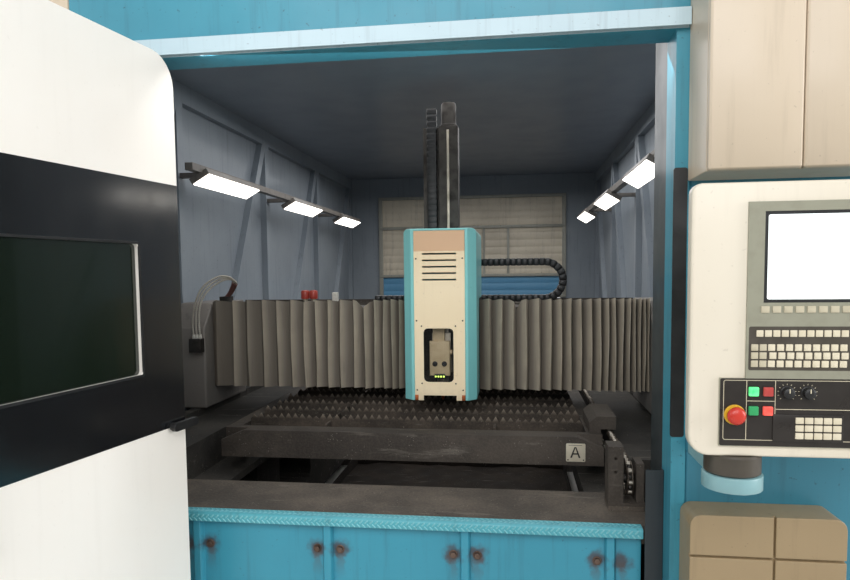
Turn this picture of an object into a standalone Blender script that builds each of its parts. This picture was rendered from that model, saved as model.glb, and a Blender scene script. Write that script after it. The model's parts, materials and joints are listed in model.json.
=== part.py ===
"""Fiber laser cutting machine, modelled in metres with +Z up.

The origin lies on the floor, in the middle of the door opening.  +X is the operator's right,
+Y goes into the machine.  The gantry runs along Y, its carriage along X and the head along Z.
"""
import math

import bmesh
import bpy
from mathutils import Vector

# General fits
GAP = 0.0003            # seat clearance between two touching pieces
SHEET = 0.004           # folded sheet metal

# Cabin
OPEN_HALF = 0.888       # half width of the door opening
COLUMN_W = 0.040        # face width of a door column
FRAME_FRONT = -0.100    # front plane of the door frame
FRAME_DEPTH = 0.110
HEADER_Z = 2.233        # lower edge of the header
CABIN_HALF = 1.320
CABIN_BACK = 4.950
CABIN_TOP = 2.560
ROOF_T = 0.060
WALL_T = 0.060
WALL_BAYS = 4
POST_W = 0.070
FRONT_PANEL_T = 0.060
BASE_H = 0.120
BASE_BEAM = 0.200       # width of the base frame's beams
REAR_OPEN_HALF = 0.920
REAR_OPEN_LOW = 0.700
REAR_OPEN_TOP = 2.330

# Front fence, sill and shelf
FENCE_Y = 0.035
FENCE_T = 0.012
RIB_W = 0.034
RIB_OUT = 0.022
RIB_PITCH = 0.463
RIB_FIRST = -0.645
RIB_COUNT = 4
SILL_TOP = 0.790
SILL_STRIP = 0.048
SILL_FLANGE = 0.046
SILL_RIGHT = 0.834
SHELF_Z = 0.785
SHELF_BACK = 0.310
SHELF_LIP = 0.060
BOLT_R = 0.011
BOLT_L = 0.020
BOLT_ASIDE = 0.046      # from a rib's middle to a bolt's
BOLT_Z = 0.700

# Bed and its rails
BED_IN = 0.860
BED_OUT = 1.200
BED_TOP = 0.880
BED_FRONT = 0.400
BED_BACK = 4.800
RAIL_X = 1.110
RAIL_W = 0.045
RAIL_H = 0.034
LEDGE_IN = 0.700        # inner edge of the pallet wheel ledge
LEDGE_TOP = 0.740
LEDGE_T = 0.030
BED_WINDOWS = 5

# Pallet with its slats and wheels
PALLET_HALF = 0.790
PALLET_FRONT = 0.570
PALLET_LENGTH = 3.130
PALLET_LOW = 0.802
PALLET_TOP = 0.916
PALLET_END_BEAM = 0.090
PALLET_SIDE_BEAM = 0.060
PALLET_CHAMFER_X = 0.105
PALLET_CHAMFER_Z = 0.042
SLAT_COUNT = 18
SLAT_PITCH = 0.163
SLAT_T = 0.005
SLAT_LOW = 0.850
SLAT_ROOT = 0.928
SLAT_TIP = 0.955
TOOTH_PITCH = 0.070
COMB_X = 0.360
COMB_T = 0.010
WHEEL_R = 0.044
WHEEL_W = 0.030
WHEEL_X = 0.745
AXLE_R = 0.012
HUB_R = 0.022
AXLE_PLAY = 0.0003      # radial running clearance in the pallet's hangers
WHEELSET_INSET = 0.300  # from a pallet end to its wheelset

# Pallet chain
CHAIN_X = 0.822
CHAIN_W = 0.020
CHAIN_PITCH = 0.0381
CHAIN_H = 0.022
SPROCKET_Y = 0.215
SPROCKET_Z = 0.868
SPROCKET_TEETH = 8
CHAIN_UNIT_Y = 4.520

# Gantry
GANTRY_HALF = 1.056
BEAM_FRONT = 1.160
BEAM_BACK = 1.420
BEAM_LOW = 1.060
BEAM_TOP = 1.400
X_RAIL_H = 0.030
BELLOWS_FRONT = 1.040
BELLOWS_DEPTH = 0.042
BELLOWS_T = 0.005
BELLOWS_LOW = 1.011
BELLOWS_TOP = 1.446
PLEATS_LEFT = 21
PLEATS_RIGHT = 19
HOUSING_W = 0.170
HOUSING_Y0 = 0.990
HOUSING_Y1 = 1.480
HOUSING_TOP = 1.430

# Carriage, cover and head
CARRIAGE_X = 0.120
CARRIAGE_HALF = 0.160
COVER_FRONT = 0.800
COVER_BACK = 1.280
COVER_LOW = 1.009
COVER_TOP = 1.711
COVER_T = 0.006
SADDLE_TOP = BEAM_TOP + 0.045
COVER_STEP_Z = SADDLE_TOP + GAP
COVER_CHAMFER = 0.036
FACE_HALF = 0.111       # half width of the cream front panel
WINDOW_HALF = 0.061
WINDOW_LOW = 1.090
WINDOW_TOP = 1.327
VENT_COUNT = 5
VENT_TOP = 1.654
VENT_PITCH = 0.028
VENT_H = 0.007
VENT_HALF = 0.074
MAST_HALF = 0.050
MAST_X = 0.085
MAST_FRONT = 1.290
MAST_BACK = 1.380
MAST_TOP = 2.420
HEAD_Y = 0.920
NOZZLE_TIP = 0.990

# Cable carrier behind the beam
CARRIER_Y = 1.462
CARRIER_W = 0.060
CARRIER_T = 0.040
CARRIER_TOP_Z = 1.620
CARRIER_LOW_Z = 1.430
CARRIER_LOOP_X = 0.600
CARRIER_ANCHOR_X = -0.020
CARRIER_TAIL_X = -0.300

# Folding door
LEAF_L = 0.905          # hinge line to hinge line
LEAF_T = 0.045
LEAF_OFF = 0.012        # hinge line to inner face
LEAF_EDGE = 0.006       # hinge line to the leaf's edge
LEAF_LOW = 0.140
LEAF_TOP = 2.222
LEAF_CORNER = 0.090
DOOR_REST_DEG = 81.45   # opened by this angle in the rest position
JAMB_X = -0.905
GLASS_FROM_EDGE = 0.180
GLASS_W = 0.530
GLASS_LOW = 1.288
GLASS_TOP = 1.660
GLASS_T = 0.020
KNUCKLE_R = 0.009
KNUCKLE_H = 0.090
HINGE_HEIGHTS = (0.420, 1.180, 1.960)   # where each pair of barrels meets
WEB_L = 0.050
TRACK_W = 0.036
TRACK_H = 0.050

# Lamps
LAMP_IN = 0.950
LAMP_W = 0.210
LAMP_L = 0.680
LAMP_T = 0.030
LAMP_PITCH = 1.180
LAMP_FIRST = 0.770
LAMP_Z = 2.030
LAMP_TILT_DEG = 13.0

# Control tower
TOWER_OUT = 1.400
TOWER_BACK = 0.380
CABINET_L = 0.923
CABINET_W = 0.446
CABINET_FRONT = -0.300
CABINET_LOW = 1.817
CABINET_TOP = 2.450
CABINET_DOOR_T = 0.022
LOWER_L = 0.915
LOWER_W = 0.400
LOWER_SEAM = 0.218
LOWER_FRONT = -0.215
LOWER_TOP = 0.905
LOWER_SPLIT = 0.790

# Pendant
PENDANT_L = 0.842
PENDANT_W = 0.584
PENDANT_FRONT = -0.470
PENDANT_DEPTH = 0.110
PENDANT_LOW = 1.139
PENDANT_TOP = 1.765
SWIVEL_X = 0.955
SWIVEL_Y = -0.420
SWIVEL_R = 0.062
SWIVEL_H = 0.050
SCREEN_L = 0.998
SCREEN_W = 0.272
SCREEN_LOW = 1.494
SCREEN_TOP = 1.698
BEZEL_MARGIN = 0.035
BEZEL_LOW = 1.335
PANEL_T = 0.006
CONTROL_L = 0.907
CONTROL_W = 0.454
CONTROL_LOW = 1.165
CONTROL_TOP = 1.322
BUTTON_R = 0.0105
BUTTON_OUT = 0.007
SOCKET_IN = 0.0015      # how far a control reaches into its socket at rest
KNOB_R = 0.0145
KNOB_OUT = 0.016
ESTOP_R = 0.021
ESTOP_STEM = 0.0125


# Colours seen on the machine: name -> (red, green, blue, roughness, metallic)
COLOURS = {
    "frame_blue": (0.05, 0.42, 0.62, 0.45, 0.0),
    "deep_blue": (0.04, 0.12, 0.20, 0.55, 0.0),
    "cabinet_cream": (0.72, 0.69, 0.62, 0.45, 0.0),
    "door_white": (0.88, 0.87, 0.84, 0.40, 0.0),
    "cover_teal": (0.06, 0.45, 0.52, 0.35, 0.0),
    "dusty_steel": (0.20, 0.17, 0.15, 0.75, 0.6),
    "dark_steel": (0.07, 0.07, 0.07, 0.60, 0.7),
    "bright_steel": (0.62, 0.62, 0.60, 0.30, 1.0),
    "copper": (0.72, 0.35, 0.18, 0.35, 1.0),
    "black_plastic": (0.02, 0.02, 0.02, 0.40, 0.0),
    "grey_plastic": (0.10, 0.11, 0.12, 0.50, 0.0),
    "bellows_cloth": (0.16, 0.14, 0.13, 0.85, 0.0),
    "laser_glass": (0.02, 0.07, 0.03, 0.10, 0.0),
    "clear_pane": (0.30, 0.28, 0.22, 0.10, 0.0),
    "screen_white": (0.95, 0.97, 1.00, 0.20, 0.0),
    "lamp_white": (1.00, 1.00, 1.00, 0.30, 0.0),
    "signal_red": (0.75, 0.04, 0.03, 0.35, 0.0),
    "signal_green": (0.03, 0.55, 0.20, 0.35, 0.0),
}


# Scene set-up and shared helpers

def clear_scene():
    for item in list(bpy.data.objects):
        bpy.data.objects.remove(item, do_unlink=True)
    machine = bpy.data.collections.new("laser_cutting_machine")
    cutters = bpy.data.collections.new("cutters")
    for group in (machine, cutters):
        bpy.context.scene.collection.children.link(group)
    return machine, cutters


MACHINE, CUTTERS = clear_scene()


def material(name):
    found = bpy.data.materials.get(name)
    if found:
        return found
    red, green, blue, roughness, metallic = COLOURS[name]
    made = bpy.data.materials.new(name)
    made.use_nodes = True
    shader = made.node_tree.nodes["Principled BSDF"]
    shader.inputs["Base Color"].default_value = (red, green, blue, 1.0)
    shader.inputs["Roughness"].default_value = roughness
    shader.inputs["Metallic"].default_value = metallic
    return made


def finish_object(obj, colour):
    """Put an object in the machine's collection and give it its material."""
    obj.data.materials.clear()
    if colour:
        obj.data.materials.append(material(colour))
    MACHINE.objects.link(obj)
    return obj


def mesh_object(name, mesh_builder, colour):
    """Make an object from a bmesh that mesh_builder fills."""
    data = bpy.data.meshes.new(name)
    shape = bmesh.new()
    mesh_builder(shape)
    bmesh.ops.recalc_face_normals(shape, faces=shape.faces)
    shape.to_mesh(data)
    shape.free()
    return finish_object(bpy.data.objects.new(name, data), colour)


def box(name, low, high, colour):
    """A box between two corners, with its origin in its middle."""
    low, high = Vector(low), Vector(high)
    size = high - low

    def build(shape):
        bmesh.ops.create_cube(shape, size=1.0)
        bmesh.ops.scale(shape, vec=size, verts=shape.verts)

    obj = mesh_object(name, build, colour)
    obj.location = (low + high) / 2
    return obj


AXIS_TURN = {"X": (0, math.pi / 2, 0), "Y": (-math.pi / 2, 0, 0), "Z": (0, 0, 0)}


def cylinder(name, centre, axis, radius, length, colour, sides=24, top_radius=None):
    """A round bar or cone with its middle at centre, along the named axis."""
    end_radius = radius if top_radius is None else top_radius

    def build(shape):
        bmesh.ops.create_cone(shape, cap_ends=True, segments=sides,
                              radius1=radius, radius2=end_radius, depth=length)

    obj = mesh_object(name, build, colour)
    obj.location = centre
    obj.rotation_euler = AXIS_TURN[axis]
    obj.data.shade_smooth()
    obj.data.set_sharp_from_angle(angle=math.radians(35))
    return obj


PLANE_TURN = {"XY": (0, 0, 0), "XZ": (math.pi / 2, 0, 0), "YZ": (math.pi / 2, 0, math.pi / 2)}


def plate(name, plane, outline, span, colour, holes=()):
    """A flat outline in a plane, with holes, extruded over the span of the third axis."""
    data = bpy.data.curves.new(name, "CURVE")
    data.dimensions = "2D"
    data.fill_mode = "BOTH"
    data.extrude = (span[1] - span[0]) / 2
    for points in [outline, *holes]:
        spline = data.splines.new("POLY")
        spline.points.add(len(points) - 1)
        for target, (along, across) in zip(spline.points, points):
            target.co = (along, across, 0, 1)
        spline.use_cyclic_u = True
    obj = finish_object(bpy.data.objects.new(name, data), colour)
    middle = (span[0] + span[1]) / 2
    obj.location = {"XY": (0, 0, middle), "XZ": (0, middle, 0), "YZ": (middle, 0, 0)}[plane]
    obj.rotation_euler = PLANE_TURN[plane]
    return obj


def rect(left, right, low, high):
    return [(left, low), (right, low), (right, high), (left, high)]


def arc(centre_x, centre_y, radius, start_deg, end_deg, steps):
    """Points on a round stretch of an outline."""
    span = end_deg - start_deg
    return [(centre_x + radius * math.cos(math.radians(start_deg + span * i / steps)),
             centre_y + radius * math.sin(math.radians(start_deg + span * i / steps)))
            for i in range(steps + 1)]


def rounded_rect(left, right, low, high, radius, steps=4):
    return (arc(right - radius, high - radius, radius, 0, 90, steps)
            + arc(left + radius, high - radius, radius, 90, 180, steps)
            + arc(left + radius, low + radius, radius, 180, 270, steps)
            + arc(right - radius, low + radius, radius, 270, 360, steps))


def to_mesh(obj):
    """Turn a curve object into a welded mesh object, so that it can be cut."""
    if obj.type == "MESH":
        return obj
    bpy.context.view_layer.update()
    evaluated = obj.evaluated_get(bpy.context.evaluated_depsgraph_get())
    data = bpy.data.meshes.new_from_object(evaluated)
    shape = bmesh.new()
    shape.from_mesh(data)
    bmesh.ops.remove_doubles(shape, verts=shape.verts, dist=0.00005)
    bmesh.ops.recalc_face_normals(shape, faces=shape.faces)
    shape.to_mesh(data)
    shape.free()
    name = obj.name
    turned = bpy.data.objects.new(name + "_mesh", data)
    turned.matrix_world = obj.matrix_world.copy()
    MACHINE.objects.link(turned)
    bpy.data.objects.remove(obj, do_unlink=True)
    turned.name = name
    return turned


def combine(target, others, operation):
    """Join others to the target, or cut them from it, with exact Booleans."""
    target = to_mesh(target)
    for number, other in enumerate(others):
        other = to_mesh(other)
        MACHINE.objects.unlink(other)
        CUTTERS.objects.link(other)
        other.hide_render = True
        other.display_type = "WIRE"
        step = target.modifiers.new(f"{operation.lower()}_{number}", "BOOLEAN")
        step.operation = operation
        step.solver = "EXACT"
        step.object = other
    return target


def cut(target, others):
    return combine(target, others, "DIFFERENCE")


def join(target, others):
    return combine(target, others, "UNION")


def bevel(obj, width, segments=2, angle=30):
    step = obj.modifiers.new("rounded_edges", "BEVEL")
    step.width = width
    step.segments = segments
    step.limit_method = "ANGLE"
    step.angle_limit = math.radians(angle)
    return obj


def pivot(name, place, turn_z=0.0, parent=None):
    """An empty on a joint's axis that carries the moving pieces."""
    empty = bpy.data.objects.new(name, None)
    empty.location = place
    empty.rotation_euler = (0, 0, turn_z)
    if parent:
        empty.parent = parent
    MACHINE.objects.link(empty)
    return empty


def carry(empty, *pieces):
    """Hang pieces that were placed in the world on an unturned pivot, in place."""
    base = Vector(empty.location)
    step = empty.parent
    while step:
        base += Vector(step.location)
        step = step.parent
    for piece in pieces:
        piece.parent = empty
        piece.location = Vector(piece.location) - base


# Cabin

def make_base_frame():
    """A ring of floor beams with two cross beams, one outline with three windows."""
    inner = CABIN_HALF - BASE_BEAM
    first = BASE_BEAM / 2
    front = FRAME_FRONT + BASE_BEAM
    span = CABIN_BACK - BASE_BEAM - front
    bays = 3
    bay = (span - (bays - 1) * BASE_BEAM) / bays
    windows = []
    for number in range(bays):
        low = front + number * (bay + BASE_BEAM)
        windows.append(rect(-inner, inner, low, low + bay))
    outline = rect(-CABIN_HALF, CABIN_HALF, FRAME_FRONT, CABIN_BACK)
    return plate("base_frame", "XY", outline, (0, BASE_H), "frame_blue", windows)


def make_door_frame():
    """Two slim columns and a deep header, cut from one portal outline, with jamb knuckles."""
    outer = OPEN_HALF + COLUMN_W
    low = BASE_H + GAP
    outline = [(-outer, low), (-OPEN_HALF, low), (-OPEN_HALF, HEADER_Z), (OPEN_HALF, HEADER_Z),
               (OPEN_HALF, low), (outer, low), (outer, CABIN_TOP), (-outer, CABIN_TOP)]
    portal = plate("door_frame", "XZ", outline,
                   (FRAME_FRONT, FRAME_FRONT + FRAME_DEPTH), "frame_blue")
    return join(portal, jamb_knuckles())


def make_column_trim():
    """The dark seal strip on the right column that the closed door meets."""
    strip = plate("column_trim", "XZ", rounded_rect(0.884, 0.9215, 1.092, 1.854, 0.006, 2),
                  (FRAME_FRONT - GAP - 0.006, FRAME_FRONT - GAP), "black_plastic")
    return strip


def make_front_panel():
    """The cabin's front left of the door, a shallow folded tray."""
    left, right = -CABIN_HALF, -(OPEN_HALF + COLUMN_W + GAP)
    panel = box("front_panel_left", (left, FRAME_FRONT, BASE_H + GAP),
                (right, FRAME_FRONT + FRONT_PANEL_T, CABIN_TOP), "cabinet_cream")
    return bevel(panel, 0.008, 2)


def wall_posts(side):
    """Where a side wall's posts start along Y; the right wall starts behind the tower."""
    front = TOWER_BACK + GAP if side > 0 else FRAME_FRONT + FRONT_PANEL_T + GAP
    back = CABIN_BACK - WALL_T - GAP
    bay = (back - front - POST_W) / WALL_BAYS
    return [front + number * bay for number in range(WALL_BAYS + 1)]


def wall_braces(posts):
    """Triangular pockets between a wall's posts and diagonal braces."""
    brace = 0.045
    low, high = BASE_H + 0.12, CABIN_TOP - 0.10
    pockets = []
    for start, end in zip(posts, posts[1:]):
        near, far = start + POST_W, end
        upper = [(near, low + brace), (far - brace, high), (near, high)]
        lower = [(near + brace, low), (far, low), (far, high - brace)]
        pockets += [upper, lower]
    return pockets


def make_side_wall(name, side):
    """A cabin wall: an outer skin with posts and diagonal braces on its inside."""
    pocket_depth = 0.040
    inner = CABIN_HALF - WALL_T
    posts = wall_posts(side)
    front, back = posts[0], posts[-1] + POST_W
    span = sorted((side * inner, side * CABIN_HALF))
    wall = plate(name, "YZ", rect(front, back, BASE_H + GAP, CABIN_TOP), span, "deep_blue")
    pockets = []
    cut_span = sorted((side * (inner - 0.01), side * (inner + pocket_depth)))
    for number, outline in enumerate(wall_braces(posts)):
        pockets.append(plate(f"{name}_pocket_{number}", "YZ", outline, cut_span, None))
    return cut(wall, pockets)


def make_rear_wall():
    """The rear wall with the opening through which the pallet leaves."""
    outline = rect(-CABIN_HALF, CABIN_HALF, BASE_H + GAP, CABIN_TOP)
    opening = rect(-REAR_OPEN_HALF, REAR_OPEN_HALF, REAR_OPEN_LOW, REAR_OPEN_TOP)
    return plate("rear_wall", "XZ", outline, (CABIN_BACK - WALL_T, CABIN_BACK),
                 "deep_blue", [opening])


def make_roof():
    """A flat roof with folded stiffening ribs underneath, drawn as one section along Y."""
    low = CABIN_TOP + GAP
    high = CABIN_TOP + ROOF_T
    roof = box("roof_panel", (-CABIN_HALF, FRAME_FRONT, low), (TOWER_OUT, CABIN_BACK, high),
               "frame_blue")
    return bevel(roof, 0.006, 1)


def make_fence():
    """The lower front sheet with its upright ribs and the round bolt heads beside them."""
    low, top = BASE_H + GAP, SILL_TOP - SILL_STRIP - GAP
    fence = box("fence_panel", (-OPEN_HALF + GAP, FENCE_Y, low), (SILL_RIGHT, FENCE_Y + FENCE_T, top),
                "frame_blue")
    added = []
    for number in range(RIB_COUNT):
        middle = RIB_FIRST + number * RIB_PITCH
        outline = [(middle - RIB_W / 2, FENCE_Y + FENCE_T / 2), (middle - RIB_W / 2, FENCE_Y - RIB_OUT / 2),
                   (middle - RIB_W / 3, FENCE_Y - RIB_OUT), (middle + RIB_W / 3, FENCE_Y - RIB_OUT),
                   (middle + RIB_W / 2, FENCE_Y - RIB_OUT / 2), (middle + RIB_W / 2, FENCE_Y + FENCE_T / 2)]
        added.append(plate(f"fence_rib_{number}", "XY", outline, (low + 0.004, top - 0.004), None))
        for side in (-1, 1):
            if RIB_FIRST + 0.01 < middle + side * BOLT_ASIDE < SILL_RIGHT - 0.08:
                added.append(cylinder(f"fence_bolt_{number}_{side}",
                                      (middle + side * BOLT_ASIDE, FENCE_Y, BOLT_Z), "Y",
                                      BOLT_R, BOLT_L, None, 10))
    return join(fence, added)


def make_sill():
    """The bent tread plate: an upright strip, a rounded nose and a flange to the rear."""
    thick, nose = SHEET, 0.010
    top, low = SILL_TOP, SILL_TOP - SILL_STRIP
    front = 0.0
    outline = ([(front, low), (front + thick, low), (front + thick, top - nose)]
               + [(front + nose, top - thick)]
               + [(front + SILL_FLANGE, top - thick), (front + SILL_FLANGE, top)]
               + arc(front + nose, top - nose, nose, 90, 180, 4))
    left = -OPEN_HALF + GAP
    sill = plate("tread_sill", "YZ", outline, (left, SILL_RIGHT), "frame_blue")
    return sill


def make_shelf():
    """The dusty shelf behind the sill, folded down at its rear edge and at the fence."""
    top, thick = SHELF_Z, SHEET
    front = FENCE_Y + FENCE_T + GAP
    outline = [(front, top - SHELF_LIP), (front + thick, top - SHELF_LIP),
               (front + thick, top - thick), (SHELF_BACK - thick, top - thick),
               (SHELF_BACK - thick, top - SHELF_LIP), (SHELF_BACK, top - SHELF_LIP),
               (SHELF_BACK, top), (front, top)]
    return plate("sill_shelf", "YZ", outline, (-OPEN_HALF + GAP, OPEN_HALF - GAP), "dusty_steel")


def make_guard_post():
    """The folded guard at the right end of the sill, in front of the chain."""
    left, right = SILL_RIGHT + GAP, OPEN_HALF - GAP
    outline = [(left, -0.020), (right, -0.020), (right, 0.010), (right - SHEET, 0.010),
               (right - SHEET, -0.020 + SHEET), (left, -0.020 + SHEET)]
    return plate("guard_post", "XY", outline, (BASE_H + GAP, 0.968), "deep_blue")


# Bed

def make_bed(name, side):
    """A bed beam along Y: rail on top, pallet ledge inside, windows in its web."""
    low = BASE_H + GAP
    inner = [(BED_IN, low), (BED_OUT, low), (BED_OUT, BED_TOP),
             (RAIL_X + RAIL_W / 2, BED_TOP), (RAIL_X + RAIL_W / 2, BED_TOP + RAIL_H),
             (RAIL_X - RAIL_W / 2, BED_TOP + RAIL_H), (RAIL_X - RAIL_W / 2, BED_TOP),
             (BED_IN, BED_TOP), (BED_IN, LEDGE_TOP), (LEDGE_IN, LEDGE_TOP),
             (LEDGE_IN, LEDGE_TOP - LEDGE_T), (BED_IN, LEDGE_TOP - LEDGE_T)]
    outline = [(side * across, up) for across, up in inner]
    bed = plate(name, "XZ", outline, (BED_FRONT, BED_BACK), "dusty_steel")
    windows = []
    pitch = (BED_BACK - BED_FRONT) / BED_WINDOWS
    span = sorted((side * (BED_IN - 0.02), side * (BED_OUT + 0.02)))
    for number in range(BED_WINDOWS):
        middle = BED_FRONT + (number + 0.5) * pitch
        windows.append(plate(f"{name}_window_{number}", "YZ",
                             rounded_rect(middle - 0.28, middle + 0.28, 0.26, 0.62, 0.06, 3),
                             span, None))
    return cut(bed, windows)


# Pallet

def make_pallet_frame():
    """The pallet's ring of beams; the front beam is deep, with chamfered upper corners."""
    front, back = PALLET_FRONT, PALLET_FRONT + PALLET_LENGTH
    half, top = PALLET_HALF, PALLET_TOP
    window = rect(-half + PALLET_SIDE_BEAM, half - PALLET_SIDE_BEAM,
                  front + PALLET_END_BEAM, back - PALLET_END_BEAM)
    ring = plate("pallet_frame", "XY", rect(-half, half, front, back), (PALLET_LOW, top),
                 "dusty_steel", [window])
    corners = []
    for side in (-1, 1):
        for end, reach in ((front, -1), (back, 1)):
            outline = [(side * (half + 0.01), top + 0.01),
                       (side * (half + 0.01), top - PALLET_CHAMFER_Z),
                       (side * (half - 0.003), top - PALLET_CHAMFER_Z),
                       (side * (half - PALLET_CHAMFER_X), top + 0.001),
                       (side * (half - PALLET_CHAMFER_X), top + 0.01)]
            span = sorted((end - reach * 0.05, end + reach * 0.01))
            corners.append(plate(f"corner_{side}_{reach}", "XZ", outline, span, None))
    hangers, spaces = make_wheel_seats()
    ring = cut(ring, corners + spaces)
    bores = [cylinder(f"axle_bore_{number}", (0, place, wheel_axis_z()), "X",
                      (AXLE_R + AXLE_PLAY) / math.cos(math.pi / 24), 2 * WHEEL_X, None, 24)
             for number, place in enumerate(wheelset_places())]
    return cut(join(ring, [make_pull_block()] + hangers), bores)


def wheel_axis_z():
    return LEDGE_TOP + GAP + WHEEL_R


def wheelset_places():
    return (PALLET_FRONT + WHEELSET_INSET, PALLET_FRONT + PALLET_LENGTH - WHEELSET_INSET)


def make_wheel_seats():
    """The pallet's axle hangers, and the pockets that its side beams leave for the wheels."""
    hangers, spaces = [], []
    play = 0.006
    beam_in = PALLET_HALF - PALLET_SIDE_BEAM
    near, far = beam_in - 0.024, beam_in - 0.006
    top = SLAT_LOW - 0.002
    for number, place in enumerate(wheelset_places()):
        for side in (-1, 1):
            section = [(near, wheel_axis_z() - 0.019), (far, wheel_axis_z() - 0.019),
                       (far, top - 0.012), (beam_in + 0.005, top - 0.012),
                       (beam_in + 0.005, top), (near, top)]
            hangers.append(plate(f"hanger_{number}_{side}", "XZ",
                                 [(side * across, up) for across, up in section],
                                 (place - 0.030, place + 0.030), None))
            reach = sorted((side * (WHEEL_X - WHEEL_W / 2 - play),
                            side * (WHEEL_X + WHEEL_W / 2 + play + 0.010)))
            spaces.append(box(f"wheel_space_{number}_{side}",
                              (reach[0], place - WHEEL_R - play, PALLET_LOW - 0.02),
                              (reach[1], place + WHEEL_R + play, top - 0.012), None))
    return hangers, spaces


def slat_outline():
    """A slat's front view: a straight lower edge and a row of teeth on the upper one."""
    half = PALLET_HALF - PALLET_SIDE_BEAM - GAP
    teeth = int(2 * half / TOOTH_PITCH)
    start = -teeth * TOOTH_PITCH / 2
    outline = [(half, SLAT_LOW), (half, SLAT_ROOT)]
    for number in range(teeth, 0, -1):
        root = start + number * TOOTH_PITCH
        outline += [(root, SLAT_ROOT), (root - TOOTH_PITCH / 2, SLAT_TIP)]
    outline += [(start, SLAT_ROOT), (-half, SLAT_ROOT), (-half, SLAT_LOW)]
    return outline


def make_slat_grid():
    """Toothed slats that stand in two slotted combs, joined into one grid."""
    first = PALLET_FRONT + PALLET_END_BEAM + SLAT_PITCH / 2
    back = PALLET_FRONT + PALLET_LENGTH - PALLET_END_BEAM - GAP
    front = PALLET_FRONT + PALLET_END_BEAM + GAP
    outline = slat_outline()
    slats = bmesh.new()
    for number in range(SLAT_COUNT):
        middle = first + number * SLAT_PITCH
        one = to_mesh(plate(f"slat_{number}", "XZ", outline,
                            (middle - SLAT_T / 2, middle + SLAT_T / 2), None))
        one.data.transform(one.matrix_world)
        slats.from_mesh(one.data)
        bpy.data.objects.remove(one, do_unlink=True)
    data = bpy.data.meshes.new("slat_grid")
    slats.to_mesh(data)
    slats.free()
    grid = finish_object(bpy.data.objects.new("slat_grid", data), "dusty_steel")
    combs = []
    for side in (-1, 1):
        combs.append(box(f"comb_{side}", (side * COMB_X - COMB_T / 2, front, SLAT_LOW - 0.030),
                         (side * COMB_X + COMB_T / 2, back, SLAT_LOW + 0.020), None))
    return join(grid, combs)


def make_wheelset(name, place):
    """Two flanged wheels on one axle, a turned profile swept round the axle's line."""
    inner, outer = WHEEL_X - WHEEL_W / 2, WHEEL_X + WHEEL_W / 2
    flange, flange_w = WHEEL_R - 0.004, 0.006
    half = [(AXLE_R, 0.0), (AXLE_R, inner - 0.003), (HUB_R, inner - 0.003), (HUB_R, inner),
            (WHEEL_R, inner), (WHEEL_R, outer - flange_w), (flange, outer),
            (AXLE_R, outer), (AXLE_R, outer + 0.012), (0.0, outer + 0.012)]
    profile = [(r, -x) for r, x in reversed(half[1:])] + half[1:]
    return turned(name, profile, (0, place, wheel_axis_z()), "X", "dark_steel", 14)


def turned(name, profile, centre, axis, colour, sides):
    """A solid of revolution: the profile's radii and places along the axis, from low to high."""
    data = bpy.data.meshes.new(name)
    points = [(radius, 0.0, along) for radius, along in reversed(profile)]
    data.from_pydata(points, [(i, i + 1) for i in range(len(points) - 1)], [])
    obj = finish_object(bpy.data.objects.new(name, data), colour)
    sweep = obj.modifiers.new("turned", "SCREW")
    sweep.axis = "Z"
    sweep.angle = 2 * math.pi
    sweep.steps = sides
    sweep.render_steps = sides
    sweep.use_merge_vertices = True
    sweep.merge_threshold = 0.00005
    obj.location = centre
    obj.rotation_euler = AXIS_TURN[axis]
    return obj


def make_pull_block():
    """The block that ties the pallet's side beam to the chain's upper run."""
    low, step = PALLET_TOP - 0.006, SPROCKET_Z + chain_radius() + CHAIN_H / 2 + 0.004
    outline = [(0.742, low), (PALLET_HALF - 0.004, low), (PALLET_HALF - 0.004, step),
               (0.846, step), (0.846, 0.985), (0.770, 0.985), (0.742, 0.960)]
    return plate("pull_block", "XZ", outline, (0.640, 0.900), None)


# Chain drive

def chain_radius():
    """The pitch radius of the sprocket, from its tooth count and the chain's pitch."""
    return CHAIN_PITCH / (2 * math.sin(math.pi / SPROCKET_TEETH))


def chain_line(offset, rear):
    """The chain's side view, offset from its pitch line: wide outer links, narrow inner ones."""
    radius = chain_radius()
    waist = 0.30
    straight = rear - SPROCKET_Y
    steps = int(straight / CHAIN_PITCH)
    points = []
    for number in range(steps + 1):
        along = rear - straight * number / steps
        depth = offset * (1.0 if number % 2 else 1.0 - waist)
        points.append((along, SPROCKET_Z + radius + depth))
    turns = 10
    for number in range(1, turns):
        angle = math.radians(90 + 180 * number / turns)
        depth = offset * (1.0 if number % 2 else 1.0 - waist)
        reach = radius + depth
        points.append((SPROCKET_Y + reach * math.cos(angle), SPROCKET_Z + reach * math.sin(angle)))
    for number in range(steps + 1):
        along = SPROCKET_Y + straight * number / steps
        depth = offset * (1.0 if number % 2 else 1.0 - waist)
        points.append((along, SPROCKET_Z - radius - depth))
    return points


def make_chain():
    """The drive chain as one wavy band: two runs and the turn round the front sprocket."""
    rear = CHAIN_UNIT_Y - GAP
    outline = chain_line(CHAIN_H / 2, rear) + chain_line(-CHAIN_H / 2, rear)[::-1]
    return plate("drive_chain", "YZ", outline,
                 (CHAIN_X - CHAIN_W / 2, CHAIN_X + CHAIN_W / 2), "dark_steel")


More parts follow.
